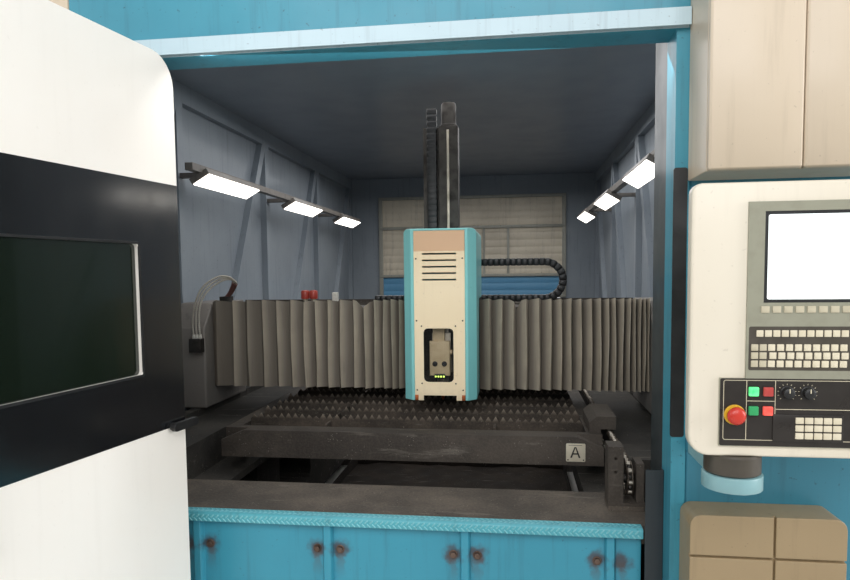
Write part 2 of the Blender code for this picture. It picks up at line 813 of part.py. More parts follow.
def make_sprocket():
    """A sprocket whose teeth stand between the chain's rollers, with its hub."""
    root = chain_radius() - CHAIN_H / 2 - 0.004
    outline = []
    for number in range(SPROCKET_TEETH * 2):
        middle = 360 / (SPROCKET_TEETH * 2) * number
        reach = root if number % 2 else root - 0.007
        outline += arc(SPROCKET_Y, SPROCKET_Z, reach, middle - 6, middle + 6, 2)
    disc = plate("chain_sprocket", "YZ", outline, (CHAIN_X - 0.006, CHAIN_X + 0.006), "bright_steel")
    hub = cylinder("sprocket_hub", (CHAIN_X, SPROCKET_Y, SPROCKET_Z), "X", 0.014, 0.040, None, 16)
    return join(disc, [hub])


def make_sprocket_bracket():
    """A foot plate with two bearing cheeks that hold the sprocket's hub between them."""
    foot_low = SHELF_Z + GAP
    cheek_gap = 0.0205
    left = (0.752, CHAIN_X - cheek_gap)
    right = (CHAIN_X + cheek_gap, 0.868)
    low_y, high_y = SPROCKET_Y - 0.045, SPROCKET_Y + 0.045
    foot = box("sprocket_bracket", (left[0], low_y, foot_low), (right[1], high_y, foot_low + 0.010),
               "dusty_steel")
    cheeks = []
    for tag, (near, far), top in (("left", left, 0.985), ("right", right, 0.930)):
        cheeks.append(box(f"cheek_{tag}", (near, low_y + 0.004, foot_low + 0.005),
                          (far, high_y - 0.004, top), None))
    holes = [cylinder("cheek_hole_low", (0.776, low_y, 0.900), "Y", 0.005, 0.030, None, 10),
             cylinder("cheek_hole_top", (0.776, low_y, 0.945), "Y", 0.005, 0.030, None, 10)]
    return cut(join(foot, cheeks), holes)


def make_chain_unit():
    """The closed gear motor housing at the rear that drives the chain."""
    low, top = LEDGE_TOP + GAP, 1.020
    back = CHAIN_UNIT_Y + 0.220
    beside_pallet = PALLET_HALF + 0.0035
    unit = box("chain_drive_unit", (beside_pallet, CHAIN_UNIT_Y, low), (BED_IN - GAP, back, top),
               "frame_blue")
    motor_r, motor_l = 0.055, 0.200
    motor = cylinder("chain_motor", (BED_IN - 0.010 + motor_l / 2, CHAIN_UNIT_Y + 0.120,
                                     BED_TOP + motor_r + 0.010), "X", motor_r, motor_l, None, 20)
    return join(bevel(unit, 0.006, 1), [motor])


# Gantry

def make_beam():
    """The cross beam in section: box, two front rails and the carrier's tray at the back."""
    tray_y0, tray_y1 = BEAM_BACK, CARRIER_Y + CARRIER_W / 2 + 0.010
    tray_low = CARRIER_LOW_Z - CARRIER_T / 2 - 0.006
    rail_low, rail_high = BEAM_LOW + 0.045, BEAM_TOP - 0.075
    front = BEAM_FRONT - X_RAIL_H
    outline = [(BEAM_FRONT, BEAM_LOW), (BEAM_BACK, BEAM_LOW), (BEAM_BACK, tray_low - 0.010),
               (tray_y1, tray_low - 0.010), (tray_y1, tray_low + 0.024),
               (tray_y1 - 0.004, tray_low + 0.024), (tray_y1 - 0.004, tray_low),
               (tray_y0 + 0.004, tray_low), (tray_y0 + 0.004, tray_low + 0.010),
               (BEAM_BACK, BEAM_TOP), (BEAM_FRONT, BEAM_TOP)]
    for low in (rail_high, rail_low):
        outline += [(BEAM_FRONT, low + 0.030), (front, low + 0.030), (front, low),
                    (BEAM_FRONT, low)]
    return plate("gantry_beam", "YZ", outline, (-GANTRY_HALF, GANTRY_HALF), "dusty_steel")


def make_housing(name, side):
    """The end carriage with its drive, a folded housing with a sloped front top edge."""
    inner = GANTRY_HALF + GAP
    outer = inner + HOUSING_W
    low = BED_TOP + RAIL_H + GAP
    outline = [(HOUSING_Y0, low), (HOUSING_Y1, low), (HOUSING_Y1, HOUSING_TOP),
               (HOUSING_Y0 + 0.10, HOUSING_TOP), (HOUSING_Y0, HOUSING_TOP - 0.12)]
    span = sorted((side * inner, side * outer))
    housing = plate(name, "YZ", outline, span, "deep_blue")
    return bevel(to_mesh(housing), 0.006, 1)


def pleat_places(start, end, count, tighten):
    """Fold places from start to end; tighten above 1 narrows the folds towards the end."""
    return [start + (end - start) * (1 - (1 - i / count) ** tighten) for i in range(count + 1)]


def make_bellows(name, start, end, count, tighten):
    """A pleated cover: a zigzag line of constant thickness, drawn upwards."""
    places = pleat_places(start, end, count, tighten)
    outer, inner = [], []
    for number, place in enumerate(places[:-1]):
        middle = (place + places[number + 1]) / 2
        outer += [(place, BELLOWS_FRONT + BELLOWS_DEPTH), (middle, BELLOWS_FRONT)]
    outer.append((places[-1], BELLOWS_FRONT + BELLOWS_DEPTH))
    inner = [(along, across + 2.2 * BELLOWS_T) for along, across in outer]
    outline = outer + inner[::-1]
    return plate(name, "XY", outline, (BELLOWS_LOW, BELLOWS_TOP), "bellows_cloth")


def tube(name, points, radius, colour, resolution=2):
    """A hose or bar through points, on a smooth curve read as a polyline."""
    data = bpy.data.curves.new(name, "CURVE")
    data.dimensions = "3D"
    data.bevel_depth = radius
    data.bevel_resolution = resolution
    data.use_fill_caps = True
    spline = data.splines.new("POLY")
    spline.points.add(len(points) - 1)
    for target, place in zip(spline.points, points):
        target.co = (*place, 1)
    return finish_object(bpy.data.objects.new(name, data), colour)


def smooth_route(points, per_span=3):
    """Catmull-Rom points between the route's own points."""
    ends = [points[0], *points, points[-1]]
    route = []
    for number in range(1, len(ends) - 2):
        before, first, second, after = (Vector(ends[number + step]) for step in (-1, 0, 1, 2))
        for part in range(per_span):
            t = part / per_span
            route.append(0.5 * ((2 * first) + (second - before) * t
                                + (2 * before - 5 * first + 4 * second - after) * t * t
                                + (3 * first - before - 3 * second + after) * t ** 3))
    route.append(Vector(points[-1]))
    return route


def make_hoses():
    """Three hoses that rise from the left end housing and bend back into the beam's end."""
    clamp_low = HOUSING_TOP + GAP
    block = box("hose_bundle", (-1.170, 1.240, clamp_low), (-1.080, 1.400, clamp_low + 0.026),
                "black_plastic")
    hoses = []
    for number in range(3):
        shift = 0.040 * number
        route = smooth_route([(-1.100, 1.280 + shift, clamp_low + 0.012),
                              (-1.098, 1.276 + shift, clamp_low + 0.070 + 0.6 * shift),
                              (-1.030, 1.268 + shift, clamp_low + 0.130 + 0.6 * shift),
                              (-0.960, 1.275 + shift, clamp_low + 0.080 + 0.6 * shift),
                              (-0.945, 1.290 + shift, clamp_low + 0.000)])
        hoses.append(tube(f"hose_{number}", route, 0.011, None))
    foot = box("hose_foot", (-0.975, 1.255, BEAM_TOP + GAP), (-0.915, 1.400, clamp_low + 0.012),
               None)
    return join(block, hoses + [foot])


# Carriage and head

def make_saddle():
    """The carriage: a front plate on the beam's rails and a bridge over the beam."""
    front = BELLOWS_FRONT + 0.004
    back = BEAM_FRONT - X_RAIL_H - GAP
    half = CARRIAGE_HALF - 0.002
    low, bridge_low = BELLOWS_LOW + 0.011, BEAM_TOP + 0.015
    rear = MAST_BACK + 0.010
    outline = [(front, low), (back, low), (back, bridge_low), (rear, bridge_low),
               (rear, SADDLE_TOP), (front, SADDLE_TOP)]
    return plate("carriage_saddle", "YZ", outline, (CARRIAGE_X - half, CARRIAGE_X + half),
                 "dark_steel")


def cover_section(inset):
    """The cover from above: straight sides and chamfered front corners."""
    left, right = CARRIAGE_X - CARRIAGE_HALF + inset, CARRIAGE_X + CARRIAGE_HALF - inset
    front, back = COVER_FRONT + inset, COVER_BACK - inset
    chamfer = COVER_CHAMFER - 0.4 * inset
    return [(left, back), (left, front + chamfer), (left + chamfer, front),
            (right - chamfer, front), (right, front + chamfer), (right, back)]


def make_cover():
    """The head's hood: a shell with chamfered front corners, open below and at its front face."""
    left, right = CARRIAGE_X - CARRIAGE_HALF, CARRIAGE_X + CARRIAGE_HALF
    radius, margin = 0.020, 0.02
    front_view = ([(left, COVER_LOW), (right, COVER_LOW)]
                  + arc(right - radius, COVER_TOP - radius, radius, 0, 90, 4)
                  + arc(left + radius, COVER_TOP - radius, radius, 90, 180, 4))
    hood = plate("head_cover", "XZ", front_view, (COVER_FRONT, COVER_BACK), "cover_teal")
    corners = []
    for side, edge in ((-1, left), (1, right)):
        outline = [(edge - side * COVER_CHAMFER, COVER_FRONT),
                   (edge - side * COVER_CHAMFER, COVER_FRONT - margin),
                   (edge + side * margin, COVER_FRONT - margin),
                   (edge + side * margin, COVER_FRONT + COVER_CHAMFER),
                   (edge, COVER_FRONT + COVER_CHAMFER)]
        corners.append(plate(f"cover_corner_{side}", "XY", outline,
                             (COVER_LOW - margin, COVER_TOP + margin), None))
    hollow = plate("cover_hollow", "XY", cover_section(COVER_T),
                   (COVER_LOW - margin, COVER_TOP - 0.010), None)
    beam_space = box("cover_beam_space",
                     (left - margin, BELLOWS_FRONT - 0.002, COVER_LOW - 0.03),
                     (right + margin, COVER_BACK + margin, COVER_STEP_Z), None)
    face = box("cover_face_space",
               (CARRIAGE_X - FACE_HALF - GAP, COVER_FRONT - margin, COVER_LOW - margin),
               (CARRIAGE_X + FACE_HALF + GAP, COVER_FRONT + COVER_T + 0.01, COVER_TOP - 0.034), None)
    return cut(hood, corners + [beam_space, hollow, face])


def make_cover_face():
    """The cream front panel with its vent slots, its window and the notch at the bottom."""
    left, right = CARRIAGE_X - FACE_HALF, CARRIAGE_X + FACE_HALF
    low, top = COVER_LOW, COVER_TOP - 0.034 - GAP
    notch_half, notch_h = 0.072, 0.022
    outline = [(left, low), (CARRIAGE_X - notch_half, low), (CARRIAGE_X - notch_half, low + notch_h),
               (CARRIAGE_X + notch_half, low + notch_h), (CARRIAGE_X + notch_half, low),
               (right, low), (right, top), (left, top)]
    holes = [rounded_rect(CARRIAGE_X - WINDOW_HALF, CARRIAGE_X + WINDOW_HALF,
                          WINDOW_LOW, WINDOW_TOP, 0.020, 3)]
    for number in range(VENT_COUNT):
        high = VENT_TOP - number * VENT_PITCH
        holes.append(rect(CARRIAGE_X - VENT_HALF, CARRIAGE_X + VENT_HALF, high - VENT_H, high))
    return plate("cover_front", "XZ", outline, (COVER_FRONT, COVER_FRONT + COVER_T),
                 "door_white", holes)


def make_cover_window():
    """The pane behind the front panel's window."""
    reach = 0.014
    return plate("cover_window", "XZ",
                 rounded_rect(CARRIAGE_X - WINDOW_HALF - reach, CARRIAGE_X + WINDOW_HALF + reach,
                              WINDOW_LOW - reach, WINDOW_TOP + reach, 0.012, 2),
                 (COVER_FRONT + COVER_T + GAP, COVER_FRONT + COVER_T + GAP + 0.004), "clear_pane")


def make_mast():
    """The upright drive column on the carriage, with side grooves and a motor on top."""
    left, right = MAST_X - MAST_HALF, MAST_X + MAST_HALF
    groove = 0.010
    low = SADDLE_TOP + GAP
    middle_y = (MAST_FRONT + MAST_BACK) / 2
    outline = [(left, MAST_FRONT), (MAST_X - groove, MAST_FRONT),
               (MAST_X - groove, MAST_FRONT + groove), (MAST_X + groove, MAST_FRONT + groove),
               (MAST_X + groove, MAST_FRONT), (right, MAST_FRONT),
               (right, middle_y - groove), (right - groove, middle_y - groove),
               (right - groove, middle_y + groove), (right, middle_y + groove),
               (right, MAST_BACK), (left, MAST_BACK)]
    mast = plate("z_mast", "XY", outline, (low, MAST_TOP - 0.12), "dark_steel")
    motor = cylinder("mast_motor", (MAST_X, middle_y, MAST_TOP - 0.065), "Z", 0.038, 0.13, None, 20)
    arm = box("carrier_arm", (CARRIER_ANCHOR_X - 0.030, MAST_BACK - 0.020, CARRIER_TOP_Z - 0.05),
              (MAST_X + 0.030, CARRIER_Y + CARRIER_W / 2, CARRIER_TOP_Z - CARRIER_T / 2 - GAP), None)
    return join(mast, [motor, arm])


def make_cutting_head():
    """The cutting head: slide block, lens barrel, collimator housing and sensor ring."""
    x = CARRIAGE_X
    slide = box("cutting_head", (x - 0.040, HEAD_Y + 0.030, 1.110),
                (x + 0.040, BELLOWS_FRONT + 0.004 - GAP, 1.420),
                "bright_steel")
    barrel = box("lens_housing", (x - 0.042, HEAD_Y - 0.050, 1.190), (x + 0.042, HEAD_Y + 0.050, 1.300),
                 None)
    upper = box("collimator", (x - 0.032, HEAD_Y - 0.036, 1.290), (x + 0.032, HEAD_Y + 0.040, 1.450),
                None)
    lower = cylinder("sensor_body", (x, HEAD_Y, 1.135), "Z", 0.026, 0.120, None, 20, 0.036)
    return join(slide, [barrel, upper, lower])


def make_nozzle():
    """The ceramic ring and copper nozzle, a turned profile that narrows to the tip."""
    top = 1.075 - GAP
    profile = [(0.0, NOZZLE_TIP), (0.003, NOZZLE_TIP), (0.009, NOZZLE_TIP + 0.018),
               (0.014, NOZZLE_TIP + 0.020), (0.014, NOZZLE_TIP + 0.036),
               (0.022, NOZZLE_TIP + 0.046), (0.025, top), (0.0, top)]
    return turned("cutting_nozzle", profile, (CARRIAGE_X, HEAD_Y, 0), "Z", "copper", 20)


def make_cable_carrier():
    """The cable carrier's band: upper run, U-turn and lower run, in one side view."""
    radius = (CARRIER_TOP_Z - CARRIER_LOW_Z) / 2
    middle_z = (CARRIER_TOP_Z + CARRIER_LOW_Z) / 2
    half = CARRIER_T / 2
    outer = arc(CARRIER_LOOP_X, middle_z, radius + half, 90, -90, 14)
    inner = arc(CARRIER_LOOP_X, middle_z, radius - half, -90, 90, 14)
    outline = ([(CARRIER_ANCHOR_X, CARRIER_TOP_Z + half)] + outer
               + [(CARRIER_TAIL_X, CARRIER_LOW_Z - half), (CARRIER_TAIL_X, CARRIER_LOW_Z + half)]
               + inner + [(CARRIER_ANCHOR_X, CARRIER_TOP_Z - half)])
    return plate("cable_carrier", "XZ", outline,
                 (CARRIER_Y - CARRIER_W / 2, CARRIER_Y + CARRIER_W / 2), "black_plastic")


# Door

def leaf_outline(round_free_edge):
    """A leaf seen from its face; the outer leaf's free top corner is rounded."""
    left, right = LEAF_EDGE, LEAF_L - LEAF_EDGE
    outline = [(left, LEAF_LOW), (right, LEAF_LOW)]
    if round_free_edge:
        outline += arc(right - LEAF_CORNER, LEAF_TOP - LEAF_CORNER, LEAF_CORNER, 0, 90, 6)
    else:
        outline.append((right, LEAF_TOP))
    outline.append((left, LEAF_TOP))
    return outline


def make_leaf(name, round_free_edge, glass_left):
    """A door leaf with its window opening, built in the frame of its hinge line."""
    span = (-LEAF_OFF - LEAF_T, -LEAF_OFF)
    opening = rounded_rect(glass_left, glass_left + GLASS_W, GLASS_LOW, GLASS_TOP, 0.012, 3)
    leaf = plate(name, "XZ", leaf_outline(round_free_edge), span, "door_white", [opening])
    pane_middle = -LEAF_OFF - LEAF_T / 2
    pane = plate(name.replace("door_leaf", "laser_window"), "XZ",
                 rounded_rect(glass_left + GAP, glass_left + GLASS_W - GAP,
                              GLASS_LOW + GAP, GLASS_TOP - GAP, 0.012 - GAP, 3),
                 (pane_middle - GLASS_T / 2, pane_middle + GLASS_T / 2), "laser_glass")
    return leaf, pane


def knuckle(tag, hinge_x, hinge_y, low, web_low, web_high):
    """A hinge barrel that starts at a height, with the web that ties it to its carrier."""
    barrel = cylinder(tag + "_barrel", (hinge_x, hinge_y, low + KNUCKLE_H / 2), "Z", KNUCKLE_R,
                      KNUCKLE_H, None, 12)
    web = box(tag + "_web", (*web_low, low), (*web_high, low + KNUCKLE_H), None)
    return [barrel, web]


def leaf_knuckles(tag, hinge_u, towards, raised):
    """Barrels on a leaf's hinge line; raised ones stand on the barrels of the other side."""
    parts = []
    reach = sorted((hinge_u, hinge_u + towards * WEB_L))
    for number, height in enumerate(HINGE_HEIGHTS):
        low = height + GAP / 2 if raised else height - GAP / 2 - KNUCKLE_H
        parts += knuckle(f"{tag}_{number}", hinge_u, 0.0, low,
                         (reach[0], -LEAF_OFF - 0.004), (reach[1], -LEAF_OFF + 0.006))
    return parts


def jamb_knuckles():
    """The frame's own barrels on the jamb line, on which the inner leaf's barrels stand."""
    line = FRAME_FRONT - LEAF_OFF
    parts = []
    for number, height in enumerate(HINGE_HEIGHTS):
        parts += knuckle(f"jamb_{number}", JAMB_X, line, height - GAP / 2 - KNUCKLE_H,
                         (JAMB_X - 0.004, line), (JAMB_X + 0.004, FRAME_FRONT + 0.002))
    return parts


def set_parent(parent, *pieces):
    for piece in pieces:
        piece.parent = parent


def make_door():
    """Two leaves that fold outwards; the second one's free end keeps to the track's line."""
    open_angle = math.radians(DOOR_REST_DEG)
    jamb = pivot("door_inner_axis", (JAMB_X, FRAME_FRONT - LEAF_OFF, 0), -open_angle)
    fold = pivot("door_outer_axis", (LEAF_L, 0, 0), 2 * open_angle, jamb)
    glass_left = LEAF_L - LEAF_EDGE - GLASS_FROM_EDGE - GLASS_W
    inner, inner_pane = make_leaf("door_leaf_inner", False, LEAF_L - glass_left - GLASS_W)
    outer, outer_pane = make_leaf("door_leaf_outer", True, glass_left)
    pin = cylinder("guide_pin", (LEAF_L, 0, LEAF_TOP - 0.010), "Z", 0.008, 0.100, None, 12)
    pin_foot = box("guide_foot", (LEAF_L - 0.150, -LEAF_OFF - 0.010, LEAF_TOP - 0.150),
                   (LEAF_L + 0.009, 0.009, LEAF_TOP - 0.030), None)
    jamb_side = leaf_knuckles("inner_jamb", 0.0, 1, True)
    fold_side = leaf_knuckles("inner_fold", LEAF_L, -1, False)
    outer_side = leaf_knuckles("outer_fold", 0.0, 1, True)
    inner = join(inner, jamb_side + fold_side)
    outer = join(outer, outer_side + [pin_foot, pin])
    bar_u = 0.180
    bar_low, bar_high = 1.020, 1.660
    stand = 0.045
    face = -LEAF_OFF - LEAF_T - GAP
    bends = smooth_route([(bar_u, face - stand * 0.4, bar_low), (bar_u, face - stand, bar_low + 0.030),
                          (bar_u, face - stand, bar_high - 0.030),
                          (bar_u, face - stand * 0.4, bar_high)], 4)
    route = [Vector((bar_u, face, bar_low)), *bends, Vector((bar_u, face, bar_high))]
    bar = tube("grab_bar", route, 0.011, "bright_steel")
    lever_u, lever_z = LEAF_L - 0.035, 1.112
    lever = plate("door_lever", "XZ",
                  rounded_rect(lever_u - 0.055, lever_u + 0.062, lever_z - 0.013, lever_z + 0.013,
                               0.011, 3), (face - 0.026, face - 0.012), "black_plastic")
    boss = cylinder("lever_boss", (lever_u - 0.035, face - 0.009, lever_z), "Y", 0.012, 0.018, None, 16)
    lever = join(lever, [boss])
    set_parent(jamb, inner, inner_pane, *jamb_side, *fold_side)
    set_parent(fold, outer, outer_pane, bar, pin, pin_foot, *outer_side)
    lever_axis = pivot("door_lever_axis", (lever_u - 0.035, face, lever_z), 0.0, fold)
    for piece in (lever, boss):
        piece.parent = lever_axis
        piece.location = Vector(piece.location) - Vector(lever_axis.location)


def make_track():
    """The guide channel on the header, open below, in which the door's pin runs."""
    line = FRAME_FRONT - LEAF_OFF
    back = FRAME_FRONT - GAP
    front = line - 0.014
    wall = 0.003
    low, high = HEADER_Z + 0.002, HEADER_Z + TRACK_H
    outline = [(front, low), (front + wall, low), (front + wall, high - wall),
               (back - wall + 0.001, high - wall), (back - wall + 0.001, low), (back, low),
               (back, high), (front, high)]
    return plate("door_track", "YZ", outline, (-OPEN_HALF, OPEN_HALF + 0.033), "bright_steel")


# Lamps

def make_lamp_row(name, side):
    """Three tilted lamp boxes under one mounting rail along the wall."""
    rail = box(name, (-0.020, LAMP_FIRST - 0.10, LAMP_Z + LAMP_T),
               (0.020, LAMP_FIRST + 2 * LAMP_PITCH + LAMP_L + 0.10, LAMP_Z + LAMP_T + 0.035),
               "lamp_white")
    middle = side * (LAMP_IN + LAMP_W / 2)
    rail.location.x = middle
    lamps = []
    for number in range(3):
        near = LAMP_FIRST + number * LAMP_PITCH
        lamp = box(f"{name}_{number}", (-LAMP_W / 2, near, LAMP_Z), (LAMP_W / 2, near + LAMP_L,
                                                                     LAMP_Z + LAMP_T), None)
        lamp.location.x = middle
        lamp.rotation_euler = (0, side * math.radians(LAMP_TILT_DEG), 0)
        lamps.append(lamp)
    arms = []
    reach = sorted((middle, side * (CABIN_HALF - WALL_T - GAP)))
    for number, post in enumerate(wall_posts(side)[1:WALL_BAYS]):
        near = post + POST_W / 2
        arms.append(box(f"{name}_arm_{number}", (reach[0], near - 0.015, LAMP_Z + LAMP_T + 0.005),
                        (reach[1], near + 0.015, LAMP_Z + LAMP_T + 0.030), None))
    return join(rail, lamps + arms)


# Control tower

def make_tower():
    """The tower's closed blue body beside the door."""
    left = OPEN_HALF + COLUMN_W + GAP
    tower = box("tower_body", (left, FRAME_FRONT, BASE_H + GAP), (TOWER_OUT, TOWER_BACK, CABIN_TOP),
                "frame_blue")
    return join(bevel(tower, 0.006, 1), [make_bracket()])


def make_cabinet():
    """The upper cabinet's carcass, open at the front behind its two doors."""
    left, right = CABINET_L, CABINET_L + CABINET_W
    back = FRAME_FRONT - GAP
    front = CABINET_FRONT + CABINET_DOOR_T + GAP
    carcass = box("upper_cabinet", (left, front, CABINET_LOW), (right, back, CABINET_TOP),
                  "cabinet_cream")
    wall = 0.012
    space = box("cabinet_space", (left + wall, front - 0.02, CABINET_LOW + wall),
                (right - wall, back - wall, CABINET_TOP - wall), None)
    return cut(carcass, [space])


def make_cabinet_door(name, left, right, hinge_x):
    """One cabinet door with rounded edges, hung on its outer upright edge."""
    door = box(name, (left, CABINET_FRONT, CABINET_LOW), (right, CABINET_FRONT + CABINET_DOOR_T,
                                                          CABINET_TOP), "cabinet_cream")
    bevel(door, 0.006, 2)
    axis = pivot(name + "_axis", (hinge_x, CABINET_FRONT, (CABINET_LOW + CABINET_TOP) / 2))
    carry(axis, door)
    return door


def make_lower_covers():
    """The stacked covers below the pendant, one shell with seams and rounded top corners."""
    left, right = LOWER_L, LOWER_L + LOWER_W
    back = FRAME_FRONT - GAP
    radius, seam = 0.030, 0.006
    outline = ([(left, BASE_H + GAP), (right, BASE_H + GAP)]
               + arc(right - radius, LOWER_TOP - radius, radius, 0, 90, 4)
               + arc(left + radius, LOWER_TOP - radius, radius, 90, 180, 4))
    covers = plate("lower_covers", "XZ", outline, (LOWER_FRONT, back), "cabinet_cream")
    seams = [box("seam_upright", (left + LOWER_SEAM - seam / 2, LOWER_FRONT - 0.01, 0.100),
                 (left + LOWER_SEAM + seam / 2, LOWER_FRONT + 0.012, LOWER_TOP + 0.01), None)]
    for number, height in enumerate((LOWER_SPLIT, LOWER_SPLIT - 0.330)):
        seams.append(box(f"seam_level_{number}", (left - 0.01, LOWER_FRONT - 0.01, height - seam / 2),
                         (right + 0.01, LOWER_FRONT + 0.012, height + seam / 2), None))
    return cut(covers, seams)


# Pendant

def make_bracket():
    """The pendant's bracket: an arm from the tower that ends in a round seat."""
    top = PENDANT_LOW - SWIVEL_H - GAP
    low = top - 0.036
    half = 0.026
    back = FRAME_FRONT + 0.020
    seat = SWIVEL_R + 0.006
    inner = math.degrees(math.asin(half / seat))
    outline = ([(SWIVEL_X + half, back), (SWIVEL_X - half, back)]
               + arc(SWIVEL_X, SWIVEL_Y, seat, 90 + inner, 450 - inner, 20))
    return bevel(to_mesh(plate("pendant_bracket", "XY", outline, (low, top), None)), 0.008, 2)


def make_pendant():
    """The console: housing on its round foot, dark panel, screen, buttons, knobs and keys."""
    right = PENDANT_L + PENDANT_W
    corner = 0.046
    outline = [(PENDANT_L + corner, PENDANT_LOW), (right - corner, PENDANT_LOW),
               (right, PENDANT_LOW + corner), (right, PENDANT_TOP - 0.03),
               (right - 0.03, PENDANT_TOP), (PENDANT_L + 0.03, PENDANT_TOP),
               (PENDANT_L, PENDANT_TOP - 0.03), (PENDANT_L, PENDANT_LOW + corner)]
    face = PENDANT_FRONT
    housing = to_mesh(plate("pendant_housing", "XZ", outline, (face, face + PENDANT_DEPTH),
                            "door_white"))
    bevel(housing, 0.010, 2)
    foot = cylinder("pendant_foot", (SWIVEL_X, SWIVEL_Y, PENDANT_LOW - SWIVEL_H / 2 + 0.002), "Z",
                    SWIVEL_R, SWIVEL_H + 0.004, None, 28)
    housing = join(housing, [foot])
    bezel_left, bezel_right = SCREEN_L - BEZEL_MARGIN, SCREEN_L + SCREEN_W + BEZEL_MARGIN
    front = face - GAP - PANEL_T
    screen_hole = rect(SCREEN_L - GAP, SCREEN_L + SCREEN_W + GAP, SCREEN_LOW - GAP, SCREEN_TOP + GAP)
    panel_outline = [(CONTROL_L, CONTROL_LOW), (CONTROL_L + CONTROL_W, CONTROL_LOW),
                     (CONTROL_L + CONTROL_W, CONTROL_TOP), (bezel_right, CONTROL_TOP),
                     (bezel_right, SCREEN_TOP + 0.022), (bezel_left, SCREEN_TOP + 0.022),
                     (bezel_left, CONTROL_TOP), (CONTROL_L, CONTROL_TOP)]
    panel = plate("console_panel", "XZ", panel_outline, (front, face - GAP), "grey_plastic",
                  [screen_hole, *control_sockets()])
    keys = []
    for row in range(3):
        for column in range(5):
            x, z = 1.030 + column * 0.0155, 1.232 - row * 0.0135
            keys.append(box(f"key_{row}_{column}", (x, front - 0.0025, z - 0.011),
                            (x + 0.0125, front + 0.002, z), None))
    panel = join(panel, keys)
    screen = plate("console_screen", "XZ", rect(SCREEN_L, SCREEN_L + SCREEN_W, SCREEN_LOW, SCREEN_TOP),
                   (face - GAP - 0.004, face - GAP), "screen_white")
    axis = pivot("pendant_axis", (SWIVEL_X, SWIVEL_Y, PENDANT_LOW))
    carry(axis, housing, panel, screen)
    make_controls(axis, front)


CONTROL_PLACES = {                      # name: (x, z, colour)
    "button_start": (0.980, 1.292, "signal_green"),
    "button_stop": (1.011, 1.292, "signal_red"),
    "button_hold": (0.980, 1.248, "signal_green"),
    "button_reset": (1.011, 1.248, "signal_red"),
}
KNOB_PLACES = {"knob_feed": (1.052, 1.290), "knob_power": (1.096, 1.290)}
ESTOP_PLACE = (0.940, 1.238)


def control_sockets():
    """The openings in the console panel in which the buttons and the stop's stem run."""
    half = BUTTON_R + GAP
    sockets = [rect(x - half, x + half, z - half, z + half) for x, z, _ in CONTROL_PLACES.values()]
    x, z = ESTOP_PLACE
    sockets.append(arc(x, z, (ESTOP_STEM + GAP) / math.cos(math.pi / 24), 0, 345, 23))
    return sockets


def make_controls(axis, front):
    """Buttons, rotary knobs and the emergency stop, each on a pivot of its own."""
    for name, (x, z, colour) in CONTROL_PLACES.items():
        button = box(name, (x - BUTTON_R, front - BUTTON_OUT, z - BUTTON_R),
                     (x + BUTTON_R, front + SOCKET_IN, z + BUTTON_R), colour)
        hang(axis, name, (x, front, z), bevel(button, 0.0012, 1))
    for name, (x, z) in KNOB_PLACES.items():
        seat = front - GAP
        knob = cylinder(name, (x, seat - KNOB_OUT / 2, z), "Y", KNOB_R, KNOB_OUT, "black_plastic",
                        20, KNOB_R * 0.86)
        pointer = box(name + "_pointer", (x - 0.0015, seat - KNOB_OUT - 0.001, z),
                      (x + 0.0015, seat - KNOB_OUT + 0.004, z + KNOB_R * 0.8), None)
        hang(axis, name, (x, seat, z), join(knob, [pointer]))
    x, z = ESTOP_PLACE
    neck = SOCKET_IN + 0.011
    profile = [(0.0, 0.0), (ESTOP_STEM, 0.0), (ESTOP_STEM, neck), (ESTOP_R * 0.85, neck + 0.002),
               (ESTOP_R, neck + 0.008), (ESTOP_R * 0.9, neck + 0.015),
               (ESTOP_R * 0.5, neck + 0.018), (0.0, neck + 0.018)]
    stop = turned("e_stop", profile, (x, front + SOCKET_IN, z), "Y", "signal_red", 24)
    stop.rotation_euler = (math.pi / 2, 0, 0)
    hang(axis, "e_stop", (x, front, z), stop)


def hang(axis, name, place, piece):
    """Put a small control on its own empty, which rides on the pendant's pivot."""
    local = Vector(place) - Vector(axis.location)
    own = pivot(name + "_axis", local, 0.0, axis)
    carry(own, piece)


# Assembly

def build_cabin():
    make_base_frame()
    make_door_frame()
    make_column_trim()
    make_front_panel()
    make_side_wall("side_wall_left", -1)
    make_side_wall("side_wall_right", 1)
    make_rear_wall()
    make_roof()
    make_fence()
    make_sill()
    make_shelf()
    make_guard_post()
    make_lamp_row("lamp_row_left", -1)
    make_lamp_row("lamp_row_right", 1)
    make_bed("bed_left", -1)
    make_bed("bed_right", 1)


def build_pallet():
    axis = pivot("pallet_axis", (0, PALLET_FRONT, LEDGE_TOP))
    carry(axis, make_pallet_frame(), make_slat_grid())
    for name, place in zip(("wheelset_front", "wheelset_rear"), wheelset_places()):
        own = pivot(name + "_axis", Vector((0, place, wheel_axis_z())) - Vector(axis.location),
                    0.0, axis)
        carry(own, make_wheelset(name, place))
    make_chain()
    make_chain_unit()
    make_sprocket_bracket()
    carry(pivot("sprocket_axis", (CHAIN_X, SPROCKET_Y, SPROCKET_Z)), make_sprocket())


